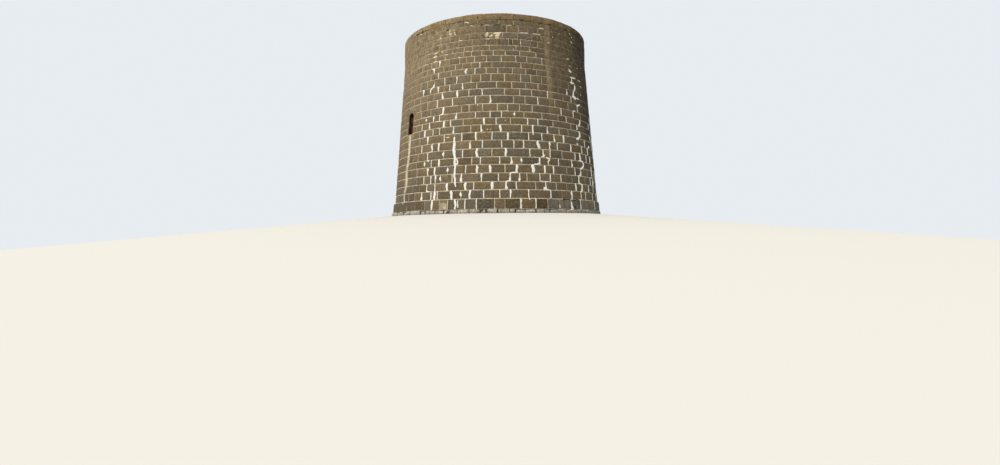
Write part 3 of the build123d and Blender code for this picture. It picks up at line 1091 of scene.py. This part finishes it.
def sill_stone(opening, rng):
    """One long stone under the opening, with a sloped top."""
    slope = 0.030
    low = Vector((-opening.sill_high.x + joint / 2, 0.004, opening.sill_low.z + joint / 2))
    high = Vector((opening.sill_high.x - joint / 2, working_depth + 0.015, opening.sill_high.z + 0.004))
    bm = cut_stones([(low, high, own_tone(rng, 0))], (10, 4, 3), 0.012, outward)
    roughen(bm, 0.004, 6.0, opening.bearing + 5)

    def place(point):
        share = point.y / working_depth
        level = point.z - slope * share * (point.z - low.z) / (high.z - low.z)
        return on_opening(opening, point.x, level, share)

    bend(bm, place)
    bmesh.ops.transform(bm, matrix=opening.turn, verts=bm.verts[:])
    finished(f"{opening.name}_sill_stone", bm, dressed)


arch_rng = random.Random(7)
for opening in openings:
    arch_stones(opening, 9 if opening is doorway else 7, arch_rng)
    sill_stone(opening, arch_rng)

# %% [markdown]
# ## Shutters and door
#
# The windows are closed by pairs of boarded shutters and the doorway by a boarded door. A board is a long
# box with soft edges; a row of them is cut to the arched head by a boolean intersection, because the
# curve crosses several boards at once. Iron straps with nails hold the boards. On the left window part
# of one leaf has rotted away, which shows as a dark gap in the photograph.

# %% Shutters and door
board_thickness = 0.030


def hang(opening, rows, name, replaced):
    """Cuts a row of boards to the arched head and lets it stand for the leaf of the frame.

    Each row gives the sides and the ends of one board.
    """
    rng = random.Random(len(name))
    back = opening.leaf_high.y
    stones = []
    for left, right, foot, top in rows:
        out = rng.uniform(-0.002, 0.002)
        low = Vector((left, back - board_thickness + out, foot))
        high = Vector((right, back + out, top))
        stones.append((low, high, own_tone(rng, 0)))
    bm = cut_stones(stones, (2, 1, 10), 0.004)
    roughen(bm, 0.0015, 5.0, opening.bearing + 8)
    bmesh.ops.transform(bm, matrix=opening.turn, verts=bm.verts[:])
    piece = finished(name, bm, painted)
    near = opening.frame_front + 0.2
    narrower = opening.leaf_high.x - opening.half
    tool = opening.prism(narrower, opening.leaf_low.z - 0.01, near, near - 0.5)
    carve(piece, [tool], opening.turn, "INTERSECT")
    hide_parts(replaced)


def rows_of_boards(opening, gap=0.004):
    """Sides and ends of six equal boards that fill the leaf."""
    width = (opening.leaf_high.x - opening.leaf_low.x) / 6
    rows = []
    for number in range(6):
        left = opening.leaf_low.x + number * width
        rows.append([left + gap / 2, left + width - gap / 2, opening.leaf_low.z, opening.leaf_high.z])
    return rows


def ironwork(opening, bars, nails, name):
    """Straps across the boards and nail heads on them."""
    face = opening.leaf_low.y
    bm = bmesh.new()
    for low, high in bars:
        bar = box_mesh((low[0], face - 0.004, low[1]), (high[0], face + 0.006, high[1]))
        bmesh.ops.bevel(
            bar, geom=bar.edges[:], offset=0.002, segments=2, profile=0.5, affect="EDGES", material=-1
        )
        add_part(bm, bar)
    for x, z in nails:
        dome = Matrix.Translation((x, face - 0.002, z)) @ Matrix.Diagonal((1, 0.6, 1, 1))
        bmesh.ops.create_uvsphere(bm, u_segments=10, v_segments=6, radius=0.011, matrix=dome)
    bmesh.ops.transform(bm, matrix=opening.turn, verts=bm.verts[:])
    finished(name, bm, iron)


rotted = ((0.56, 0.66, 1.08), (0.50, 0.70, 1.02), (0.57, 0.64, 1.05))
strap_height = 0.035
door_strap_height = 0.055
for opening in (left_window, right_window):
    rows = rows_of_boards(opening)
    if opening is left_window:
        foot = opening.leaf_low.z
        for number, (gap_foot, gap_top, head) in enumerate(rotted):
            left, right = rows[number][:2]
            rows[number] = [left, right, foot, foot + gap_foot]
            rows.append([left, right, foot + gap_top, foot + head])
    hang(opening, rows, f"{opening.name}_shutter_boards", f"{opening.name}_shutters")
    side = opening.leaf_high.x - 0.01
    levels = (opening.leaf_low.z + 0.16, opening.springing - 0.10)
    left_levels = levels[:1] if opening is left_window else levels
    bars = [((-side, level), (-0.05, level + strap_height)) for level in left_levels]
    bars += [((0.05, level), (side, level + strap_height)) for level in levels]
    nails = []
    for low, high in bars:
        for share in (0.2, 0.5, 0.8):
            nails.append((low[0] + (high[0] - low[0]) * share, low[1] + strap_height / 2))
    ironwork(opening, bars, nails, f"{opening.name}_straps")

hang(doorway, rows_of_boards(doorway), "back_door_boards", "back_door_leaf")
side = doorway.leaf_high.x - 0.01
levels = (doorway.leaf_low.z + 0.25, doorway.leaf_low.z + 0.95, doorway.springing - 0.15)
bars = [((-side, level), (side - 0.10, level + door_strap_height)) for level in levels]
nails = [(-side + 0.07 + 0.15 * step, level + door_strap_height / 2) for level in levels for step in range(6)]
ironwork(doorway, bars, nails, "back_door_straps")

# %% [markdown]
# ## Floor boards
#
# The first floor is laid with oak boards across the joists. They are long boxes again, cut round by one
# cylinder a few millimetres inside the room.

# %% Floor boards
floor_low, floor_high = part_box("first_floor_boards")
board_rng = random.Random(41)
planks = []
x = floor_low.x
while x < floor_high.x:
    width = board_rng.uniform(0.17, 0.26)
    low = Vector((x + 0.002, floor_low.y, floor_low.z + 0.001))
    high = Vector((x + width - 0.002, floor_high.y, floor_high.z - board_rng.uniform(0.001, 0.003)))
    planks.append((low, high, own_tone(board_rng, 0)))
    x += width
bm = cut_stones(planks, (1, 12, 1), 0.004)
roughen(bm, 0.001, 1.5, 42)
floor = finished("floor_boards", bm, oak_boards)
room = disc(floor_high.x - 0.005, floor_low.z, 1, 96)
carve(floor, [room], Matrix.Identity(4), "INTERSECT")
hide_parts("first_floor_boards")

# %% [markdown]
# ## Plinth and footing
#
# The plinth is one tall course that stands a hand's breadth out from the wall. Under it the footing is
# rough unsquared stone: pale, rounded, with dark gaps. Rough stones are the same cubes with a much larger
# bevel and a stronger noise. They stand in for the frame's footing, with a plain ring left behind them,
# coloured dark as painted shade, which shows in the gaps.

# %% Plinth and footing
def on_plinth(point):
    """From flat space to the plinth's face."""
    return round_axis(point.x / wall_gauge, plinth_face(point.z) + point.y, point.z)


def around_axis(gauge):
    """A bend that reads x as the way round at a gauge radius and y as the distance from the axis."""
    def place(point):
        return round_axis(point.x / gauge, point.y, point.z)
    return place


def kept_inside(place, radius):
    """The same bend as another, with nothing past a radius, under the ground or over the rim."""
    def kept(point):
        point = place(point)
        point.z = min(max(point.z, 0.0), rim_level)
        reach = hypot(point.x, point.y)
        if reach > radius:
            point.xy *= radius / reach
        return point
    return kept


plinth_rng = random.Random(5)
plinth_ledge = 0.030
plinth_stones = course_stones(0, footing_top, plinth_top, courses[0][2], plinth_rng)
for low, high, tone in plinth_stones:
    high.y += 0.004
    high.z = plinth_top - plinth_ledge
rough = ((0.008, 4.0, 51), (0.003, 15.0, 52))
lay("plinth_stones", plinth_stones, ((6, 1, 4), 0.014, outward), rough, on_plinth, granite)


def footing_stones(rng):
    """One row of rough stones, with smaller ones wedged between."""
    stones = []
    x = 0.0
    whole = 2 * pi * footing_radius
    while x < whole - 0.30:
        length = rng.uniform(0.34, 0.82)
        if whole - x - length < 0.35:
            length = whole - x
        out = rng.uniform(footing_radius - 0.14, footing_radius - 0.006)
        top = footing_top - rng.choice((0.004, 0.03, 0.075)) * rng.uniform(0.6, 1)
        low = Vector((x + 0.006, footing_radius - 0.55, 0.010))
        high = Vector((x + length - rng.choice((0.02, 0.04, 0.10)), out, top))
        stones.append((low, high, own_tone(rng, 0.2)))
        x += length
    return stones


place = kept_inside(around_axis(footing_radius), footing_radius)
rough = ((0.030, 3.5, 61), (0.010, 13.0, 62))
stones = footing_stones(random.Random(21))
chipped = ((4, 3, 2), 0.050)
rough_footing = lay("footing_stones", stones, chipped, rough, place, foundation, 60)
core_depth = footing_top - 0.02
core = disc(footing_radius - 0.14, core_depth / 2, core_depth, 128)
# painted shade: a dark core behind the rough footing stones, seen in the gaps between them
shadow = Finish("footing_core")
shadow_finish = shadow.finish((0.10, 0.085, 0.06, 1), 0.95, rough_normal(shadow, 0.01, 0.003), 0.1)
finished("footing_core", core, shadow_finish)
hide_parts("footing")

# %% [markdown]
# ## Coping
#
# The coping is two rings of thick stones laid side by side across the parapet, with a slight fall to the
# outside. Its outer edge is the most worn line of the tower, so each stone gets a top level of its own
# and a rougher noise. A plain core stands a little lower between the stones as their mortar.

# %% Coping
outer_rim = rim_level - 0.05
rim_lean = 0.065
quarters = ("front", "right", "back", "left")


def rim_at(radius, bearing):
    """Level of the top of the coping, which falls to the outside, and most to the left of the photograph."""
    share = (radius - well_radius) / (parapet_radius - well_radius)
    outer = outer_rim + rim_lean * sin(bearing - radians(photo_bearing))
    return rim_level + (outer - rim_level) * share


def coping_ring(inner, outer, lengths_range, seed, worn):
    """A ring of coping stones between two radii, sorted by the quarter each lies in."""
    rng = random.Random(seed)
    gauge = parapet_radius
    whole = 2 * pi * gauge
    x = rng.uniform(0, 0.5)
    end = x + whole
    sorted_stones = {name: [] for name in quarters}
    while x < end - 0.05:
        length = min(rng.uniform(*lengths_range), end - x)
        if end - x - length < 0.4:
            length = end - x
        top = rim_level - rng.uniform(0, worn)
        low = Vector((x + 0.008, inner + 0.008, coping_bed + 0.012))
        high = Vector((x + length - 0.008, outer, top))
        bearing = degrees((x + length / 2) / gauge)
        sorted_stones[quarters[round(bearing / 90) % 4]].append((low, high, own_tone(rng)))
        x += length
    return sorted_stones


middle_radius = parapet_radius - 0.80
outer_stones = coping_ring(middle_radius, parapet_radius - 0.004, (0.75, 1.25), 81, 0.035)
inner_stones = coping_ring(well_radius - 0.012, middle_radius, (0.65, 1.15), 82, 0.02)


def on_coping(point):
    """Round the axis, with the top following the fall of the coping."""
    share = (point.z - coping_bed) / (rim_level - coping_bed)
    turn = point.x / parapet_radius
    return round_axis(turn, point.y, coping_bed + share * (rim_at(point.y, turn) - coping_bed))


for seed, name in enumerate(quarters):
    stones = outer_stones[name] + inner_stones[name]
    rough = ((0.010, 5.0, seed + 83), (0.005, 17.0, seed + 87))
    place = kept_inside(on_coping, parapet_radius)
    piece = lay(f"coping_{name}_stones", stones, ((6, 4, 2), 0.022), rough, place, dressed)
    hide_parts(f"coping_{name}")


def spun_ring(profile, steps):
    """A closed ring round the tower's axis, from the corners of its section."""
    bm = bmesh.new()
    corners = [bmesh.ops.create_vert(bm, co=(radius, 0, level))["vert"][0] for radius, level in profile]
    for first, second in zip(corners, corners[1:] + corners[:1]):
        bmesh.ops.contextual_create(bm, geom=[first, second])
    bmesh.ops.spin(
        bm,
        geom=[*bm.verts, *bm.edges],
        cent=(0, 0, 0),
        axis=(0, 0, 1),
        angle=2 * pi,
        steps=steps,
        use_merge=True,
    )
    bmesh.ops.recalc_face_normals(bm, faces=bm.faces[:])
    return bm


core_section = [
    (well_radius + 0.03, coping_bed - 0.01), (parapet_radius - 0.05, coping_bed - 0.01),
    (parapet_radius - 0.05, outer_rim - rim_lean - 0.09), (well_radius + 0.03, rim_level - 0.05),
]
finished("coping_core", spun_ring(core_section, 128), mortar)

# %% [markdown]
# ## The gun platform
#
# From above one looks down into the well of the parapet: its inner face, the firing step that runs round
# it, and the paved platform. The flags lie in rings round the middle. Every ring is laid by the same
# cutter, with y as the distance from the axis and the top as the dressed side.

# %% The gun platform
upward = Vector((0, 0, 1))
flag_relief = 0.006


def flag_ring(inner, outer, foot, top, length, rng):
    """Flags between two radii, in flat space at the outer radius."""
    whole = 2 * pi * outer
    count = max(3, round(whole / length))
    places = [whole * (number + rng.uniform(-0.18, 0.18)) / count for number in range(count)]
    flags = []
    for left, right in zip(places, places[1:] + [places[0] + whole]):
        low = Vector((left + 0.007, inner + 0.007, foot))
        high = Vector((right - 0.007, outer - 0.007, top + rng.uniform(-0.004, 0.004)))
        flags.append((low, high, own_tone(rng)))
    return flags


def lay_flags(name, rings, foot, top, length, seed):
    """Rings of flags joined into one piece. The flags lie on the frame's own surface."""
    rng = random.Random(seed)
    whole = bmesh.new()
    for inner, outer in rings:
        bm = cut_stones(flag_ring(inner, outer, foot, top, length, rng), (4, 2, 1), 0.009, upward)
        roughen(bm, 0.003, 6.0, seed + outer)
        bend(bm, around_axis(outer))
        add_part(whole, bm)
    return finished(name, whole, paving)


step_inner = min(vert.co.xy.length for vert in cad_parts["firing_step"].data.vertices)
flag_edges = [step_inner - 0.012 - 0.62 * number for number in range(7)]
platform_rings = [(inner, outer) for outer, inner in zip(flag_edges, flag_edges[1:])]
step_rings = [(step_inner - 0.017, well_radius)]
lay_flags("platform_flags", platform_rings, platform_level - 0.06, platform_level + flag_relief, 0.95, 91)
lay_flags("firing_step_stones", step_rings, platform_level, step_level + flag_relief, 0.9, 92)
centre_flag = disc(flag_edges[-1] - 0.007, platform_level - 0.027, 0.066, 32)
finished("platform_centre_flag", centre_flag, paving)


def in_well(point):
    """From flat space to the parapet's inner face, which looks to the axis."""
    return round_axis(-point.x / well_radius, well_radius - point.y, point.z)


well_rng = random.Random(95)
well_beds = bed_levels((0.32, 0.30, 0.28, 0.28), step_level, coping_bed)
stones = []
for low_level, high_level in zip(well_beds, well_beds[1:]):
    for low, high, tone in flag_ring(0, well_radius, low_level, high_level, 0.75, well_rng):
        start = Vector((low.x, -0.25, low_level + 0.007))
        end = Vector((high.x, well_rng.uniform(0.003, 0.010), high_level - 0.007))
        stones.append((start, end, tone))
bevelled = ((3, 1, 2), 0.009, outward)
lay("parapet_inner_stones", stones, bevelled, ((0.005, 6.0, 96),), in_well, granite)

# %% [markdown]
# ## Lime that has run out of the wall
#
# Rain has washed lime out of the core, and it has set in white strips along the upright joints and in a
# few long runs. Each strip is a small grid laid along a line of points that have widths of their own,
# thick in the middle, thin and wavering at the edges, and closed by solidify. The joints carry their marks
# from the list above. The longer runs are read from the photograph, each point as an angle, a share
# of the height and a width in centimetres, and so are the cream crusts near the top and the places where
# a joint has lost its mortar and stands open. Those open joints are near-black strips of painted shade,
# standing for the shadow inside them.

# %% Lime
lime_shapes = {
    "W": ((0.00, 15), (0.35, 18), (0.70, 15), (1.00, 17)),
    "w": ((0.02, 8), (0.50, 7), (0.98, 9)),
    "D": ((0.00, 7), (0.45, 9), (0.78, 20), (1.00, 16)),
    "T": ((0.00, 17), (0.30, 18), (0.60, 9), (1.00, 7)),
    "B": ((0.20, 10), (0.45, 21), (0.72, 12)),
}
runs = """
-22.3,.374,15 -22.1,.345,17 -22.5,.325,26 -22.2,.30,22 -21.8,.26,19 -21.5,.21,16 -21.7,.165,19
-21.2,.135,17 -20.9,.115,12 / -20.7,.260,8 -20.0,.242,11 -20.2,.231,13 -21.5,.233,12 / 48.4,.312,12
48.5,.288,22 48.9,.270,36 / 47.2,.266,15 50.6,.266,16 51.5,.250,18 51.4,.236,20 48.3,.221,17 /
48.2,.208,14 47.8,.187,14 46.3,.182,12 45.8,.155,13 45.6,.142,14 48.0,.136,13 48.2,.120,20 48.1,.103,22
46.8,.093,15 46.6,.066,13 / 48.3,.462,16 47.6,.434,17 / 49.5,.430,18 50.6,.418,22 50.4,.404,25
48.8,.391,22 46.3,.384,16 / 46.4,.353,14 47.8,.356,14 / 51.9,.495,18 51.2,.475,20 50.0,.456,18 /
49.3,.568,13 51.0,.575,15 53.4,.584,11 / 45.6,.534,12 47.5,.539,12 / 60.3,.356,17 63.0,.361,22 /
20.6,.351,13 20.3,.335,22 20.9,.318,24 21.4,.309,18 / 9.2,.184,12 6.3,.181,10 6.0,.176,10 / 4.9,.140,9
4.0,.136,9 / -38.3,.105,9 -38.0,.098,12 -35.9,.097,9 / -39.0,.624,14 -38.7,.643,14 -37.0,.651,12
-36.4,.662,19 -36.3,.668,9 / -15.8,.722,13 -16.9,.710,14 -16.4,.696,10 / -38.6,.752,9 -37.0,.750,9 /
22.6,.113,13 22.9,.103,18 24.3,.097,11 25.8,.098,10 / 17.3,.226,25 17.3,.205,27 17.4,.184,25 / 20.6,.142,7
23.6,.140,7 26.2,.141,6 / 3.9,.139,9 5.9,.141,9 / 17.8,.227,12 19.5,.229,12 21.3,.231,14 / 21.6,.263,8
23.2,.270,8 / 24.5,.262,13 26.3,.259,15 26.1,.249,10 25.4,.243,9 25.9,.230,11 / 18.0,.432,13 18.0,.395,11
18.0,.377,7 / -34.0,.464,6 -30.4,.463,6 / -32.0,.497,8 -29.2,.498,9 / -45.0,.497,5 -38.0,.497,6 /
-25.2,.534,5 -23.8,.537,6 / -27.0,.374,8 -25.3,.373,6 / -38.8,.265,13 -37.6,.258,17 / -10.0,.532,11
-9.8,.528,9 / 18.2,.264,9 18.8,.264,7 / -10.2,.270,12 -9.2,.262,9 / -10.1,.310,16 -10.3,.290,13 /
47.4,.650,15 47.2,.630,17 46.5,.617,18 48.4,.613,27 49.7,.611,22 / 50.4,.614,16 52.6,.612,13 /
49.1,.688,14 49.2,.676,22 49.0,.662,19 47.8,.652,16 / 45.0,.692,16 48.6,.695,16 / 45.6,.722,12
50.6,.725,10 / 44.4,.764,10 45.2,.757,17 46.8,.750,15 / 12.7,.908,5 17.3,.911,5 / -33.1,.905,8
-32.6,.910,18 / 45.8,.784,8 46.3,.788,7 / 53.4,.790,7 54.6,.792,6 / 9.0,.823,9 9.1,.818,10 / 48.8,.949,11
49.5,.951,11 / 55.3,.646,12 56.0,.643,12 / -29.7,.158,14 -29.5,.150,17 / -35.7,.308,8 -38.4,.306,7 /
61.4,.305,13 61.5,.270,15 / 62.5,.250,16 62.0,.222,12 62.0,.190,15 / 63.0,.170,14 62.5,.135,11
62.5,.100,14 / 45.0,.182,7 48.0,.182,6 / 58.6,.182,8 63.5,.183,7
"""
crusts = """
-6.2,.892,11 -5.0,.901,15 -3.9,.897,12 / -5.8,.885,8 -4.4,.892,9 / -3.8,.884,10 -2.2,.890,12 -1.6,.893,9 /
-5.5,.873,5 -3.8,.872,6 / -1.6,.899,9 0.4,.900,17 2.7,.903,13 / -0.8,.886,12 1.6,.888,16 / -0.2,.893,12
1.9,.894,12 / -0.6,.878,6 1.5,.877,8 / -27.0,.935,12 -26.0,.931,14 / -27.1,.921,13 -25.2,.915,16 /
-26.8,.927,10 -26.2,.912,12 / -24.4,.935,9 -23.2,.934,11 / -23.9,.927,9 -23.3,.919,12 / -23.6,.914,12
-22.6,.911,10 / 13.2,.864,6 13.2,.852,11 / -17.6,.969,8 -14.9,.962,12 / -37.9,.814,16 -35.0,.817,20 /
-37.5,.832,9 -34.5,.835,11 / -32.2,.832,13 -30.7,.834,12 / -30.0,.814,7 -27.4,.812,8 / -42.6,.841,6
-40.6,.839,6 / -50.0,.966,7 -48.0,.962,8 / -45.0,.788,8 -42.2,.785,7 / -38.2,.786,6 -36.6,.788,11
-34.4,.786,6 / -30.1,.787,7 -28.6,.786,7 / -21.3,.788,9 -19.8,.788,10 / 24.0,.945,9 25.6,.946,11
26.9,.947,7 / 19.8,.911,7 24.8,.913,7 / 32.6,.915,10 33.4,.914,9 / 29.2,.876,8 30.8,.880,7 / -22.9,.846,10
-22.3,.844,9 / -21.4,.876,7 -18.4,.874,8 / -14.4,.946,6 -12.0,.943,5 / -5.9,.945,5 -3.4,.943,5 /
6.2,.942,5 8.0,.943,5 / 47.6,.925,8 49.6,.920,9 / 46.3,.966,9 47.4,.962,7 / 56.0,.694,9 58.0,.690,8 /
53.5,.724,8 57.0,.722,7 / 43.0,.818,7 45.5,.822,7 / -5.2,.405,11 -4.6,.402,8 / -3.6,.404,10 -3.0,.402,7 /
3.8,.449,10 4.3,.447,7 / -18.7,.336,6 -18.4,.334,6
"""
plinth_runs = """
-33.7,.055,18 -33.9,.030,22 -34.0,.008,20 / -19.2,.048,8 -19.4,.030,9 -19.2,.008,10 / 30.2,.022,8
30.2,.006,14 / 37.6,.040,8 37.8,.020,22 37.9,.008,40 37.9,-.004,46 / -10.1,.052,9 -10.2,.030,7 /
14.7,.052,9 14.7,.042,12
"""
plinth_joint_shades = """
30.9,.043,16 32.2,.047,13 36.9,.050,9 / 25.0,.043,22 26.4,.044,13 / 38.8,.048,10 43.6,.047,14 /
45.2,.047,12 45.4,.030,8 / 3.6,.006,9 9.6,.007,10 / -11.5,.006,8 -13.0,.007,9
"""
open_joints = """
-8.4,.945,10 -6.9,.946,9 / -10.3,.987,13 -9.6,.984,12 / 11.6,.878,8 12.9,.880,8 / -18.7,.837,8
-18.1,.835,8 / 53.0,.877,11 54.2,.879,9 / 35.5,.846,11 36.0,.840,10 / 38.8,.866,11 39.6,.863,10 /
-54.5,.977,7 -51.5,.976,9 / -49.2,.977,7 -46.4,.976,6 / -45.4,.974,8 -43.2,.973,8 / -37.6,.944,6
-36.4,.943,6 / -29.0,.942,6 -27.2,.942,6 / 42.4,.978,11 44.6,.980,8 / 29.6,.977,6 32.4,.979,6 /
-28.4,.945,6 -27.0,.944,6 / 26.2,.746,8 26.8,.738,10 / -21.6,.974,6 -19.4,.974,6 / 12.6,.975,6 14.6,.976,7
/ 16.0,.878,6 18.2,.881,6 / -1.0,.945,5 2.5,.946,5 / 8.5,.946,6 10.5,.945,6 / 48.6,.838,7 49.8,.840,7
"""


def smear(bm, line, relief=0.028):
    """A strip of lime, cream crust or painted joint shade along a line of flat space, given as pairs of a
    point (x and z) and a width.
    """
    ends = [0.0]
    for (first, _), (second, _) in zip(line, line[1:]):
        ends.append(ends[-1] + max((second - first).length, 0.01))
    whole = ends[-1]

    def at(distance):
        distance = min(max(distance, 0), whole)
        number = max(each for each, start in enumerate(ends[:-1]) if start <= distance)
        share = (distance - ends[number]) / (ends[number + 1] - ends[number])
        (start, width), (end, end_width) = line[number], line[number + 1]
        return start.lerp(end, share), width + (end_width - width) * share

    seed = lime_rng.uniform(0, 200)
    rows = max(4, round(whole / 0.04))
    for vert in bmesh.ops.create_grid(bm, x_segments=4, y_segments=rows, size=0.5)["verts"]:
        across, along = 2 * vert.co.x, (vert.co.y + 0.5) * whole
        place, width = at(along)
        ahead = (at(along + width / 2)[0] - at(along - width / 2)[0]).normalized()
        aside = Vector((-ahead.y, ahead.x))
        to_end = min(1, 2 * min(along, whole - along) / width)
        half = width / 2 * (1 + 0.30 * noise.noise((seed, along * 6, 0)))
        half += width * 0.30 * noise.noise((seed, along * 16, across * 2))
        half *= 0.45 + 0.55 * sqrt(1 - (1 - to_end) ** 2)
        wander = 0.25 * width * noise.noise((seed + 50, along * 4, 0))
        spot = place + aside * (across * half + wander)
        vert.co = (spot.x, relief * (1 - across**4) * (0.6 + 0.4 * to_end) - 0.006, spot.y)


def read_line(text):
    """Points and widths from a text of angles, shares of the height and centimetres."""
    line = []
    for word in text.split():
        angle, share, width = [float(part) for part in word.split(",")]
        line.append((Vector((flat_x(angle), footing_top + share * photo_height)), width / 100))
    return line


def crosses_opening(low, high, angle):
    """Whether the joint at an angle would lie on an opening or the stones that frame it."""
    x = (flat_x(angle) + pi * wall_gauge) % (2 * pi * wall_gauge) - pi * wall_gauge
    for turn in (0, 2 * pi * wall_gauge):
        strip = (Vector((x + turn, 0, low)), Vector((x + turn, 0, high)), None)
        if any(meets(strip, opening) for opening in openings):
            return True
    return False


def joint_lime(bm, low, high, angle, mark):
    """Lime on one upright joint, in the shape of its mark, and wider where the photograph sees it aslant."""
    size = lime_rng.uniform(0.85, 1.12) * (1 + 0.30 * sin(radians(angle)) ** 2)
    top = high - lime_rng.uniform(-0.02, 0.03)
    line = []
    for share, width in lime_shapes[mark]:
        x = flat_x(angle) + lime_rng.uniform(-0.014, 0.014)
        line.append((Vector((x, top + (low - top) * share)), size * width / 100))
    smear(bm, line)


def strip_piece(name, rings, lines, place, material, relief=0.028):
    """One piece of closed strips, along the marked joints of some courses and along some lines.

    Each strip gets a back, which follows its faces' normals, so those are brought up to date first.
    """
    bm = bmesh.new()
    for low, high, ring in rings:
        for angle, mark in ring:
            if mark in lime_shapes and not crosses_opening(low, high, angle):
                joint_lime(bm, low, high, angle, mark)
    for text in lines.split("/"):
        smear(bm, read_line(text), relief)
    bm.normal_update()
    bmesh.ops.solidify(bm, geom=bm.faces[:], thickness=0.012)
    bmesh.ops.recalc_face_normals(bm, faces=bm.faces[:])
    bend(bm, place)
    finished(name, bm, material)


lime_rng = random.Random(64)
gap_relief = 0.020
strip_piece("lime_on_drum", courses[1:], runs, on_wall, lime)
strip_piece("cream_crust_on_drum", [], crusts, on_wall, crust)
# painted shade: dark strips in the open joints, on the drum and on the plinth
strip_piece("open_joints", [], open_joints, on_wall, joint_shade, gap_relief)
strip_piece("lime_on_plinth", courses[:1], plinth_runs, on_plinth, lime)
strip_piece("open_joints_on_plinth", [], plinth_joint_shades, on_plinth, joint_shade, gap_relief)

# %% [markdown]
# ## Ground, light and camera
#
# The tower stands on a rise, and the camera looks up at it from below, so the floor is a flat disc under
# the footing and then a shallow cone. A broad soft sun from the left gives the drum its roundness, and an
# even sky fills the rest. The camera's lens, distance and level come from fitting a pinhole to the curves
# of the bed joints; the small shifts put the tower where the photograph has it.

# %% Ground, light and camera
ground_reach = 150.0
level_ground = 7.8
fall = tan(radians(5)) * (ground_reach - level_ground)
ground = as_object("ground", disc(ground_reach, -fall / 2 - 0.002, fall, 240, level_ground))
ground_finish = Finish("pale_ground")
seen = ground_finish.add("ShaderNodeLightPath").outputs["Is Camera Ray"]
ground_colour = ground_finish.mix(seen, (0.20, 0.19, 0.14), (0.78, 0.76, 0.71))
ground.data.materials.append(ground_finish.finish(ground_colour, 0.95, specular=0.0))

world = bpy.data.worlds.new("pale_sky")
bpy.context.scene.world = world
world.use_nodes = True
sky = world.node_tree
background = sky.nodes["Background"]
background.inputs["Color"].default_value = (1.0, 0.99, 0.96, 1)
background.inputs["Strength"].default_value = 0.90
seen_sky = sky.nodes.new("ShaderNodeBackground")
seen_sky.inputs["Color"].default_value = (0.80, 0.84, 0.88, 1)
seen_sky.inputs["Strength"].default_value = 1.0
ray = sky.nodes.new("ShaderNodeLightPath")
choose = sky.nodes.new("ShaderNodeMixShader")
sky.links.new(ray.outputs["Is Camera Ray"], choose.inputs[0])
sky.links.new(background.outputs[0], choose.inputs[1])
sky.links.new(seen_sky.outputs[0], choose.inputs[2])
sky.links.new(choose.outputs[0], sky.nodes["World Output"].inputs["Surface"])

sun_bearing = radians(-80)
sun_elevation = radians(36)
sun = bpy.data.lights.new("soft_sun", "SUN")
sun.energy = 1.40
sun.angle = radians(30)
sun.color = (1.0, 0.95, 0.86)
towards = round_axis(sun_bearing, cos(sun_elevation), sin(sun_elevation))
sun_holder = bpy.data.objects.new("soft_sun", sun)
sun_holder.rotation_euler = towards.to_track_quat("Z", "Y").to_euler()
bpy.context.scene.collection.objects.link(sun_holder)

camera_data = bpy.data.cameras.new("camera")
camera_data.lens = 18.54
camera_data.sensor_width = 36
camera_data.shift_x = 0.0034
camera_data.shift_y = -0.0029
camera_data.clip_end = 500
camera = bpy.data.objects.new("camera", camera_data)
bpy.context.scene.collection.objects.link(camera)
camera_distance = 38.15
camera_level = -0.98
camera_bearing = radians(photo_bearing - 0.9)
camera_roll = -0.0108
spot = round_axis(camera_bearing, camera_distance, camera_level)
upright = (Vector((0, 0, camera_level)) - spot).to_track_quat("-Z", "Y")
camera.location = spot
camera.rotation_euler = (upright.to_matrix() @ Matrix.Rotation(camera_roll, 3, "Z")).to_euler()
bpy.context.scene.camera = camera
bpy.context.scene.view_settings.view_transform = "Standard"
print(f"camera {camera_distance} m away, level {camera_level} m")
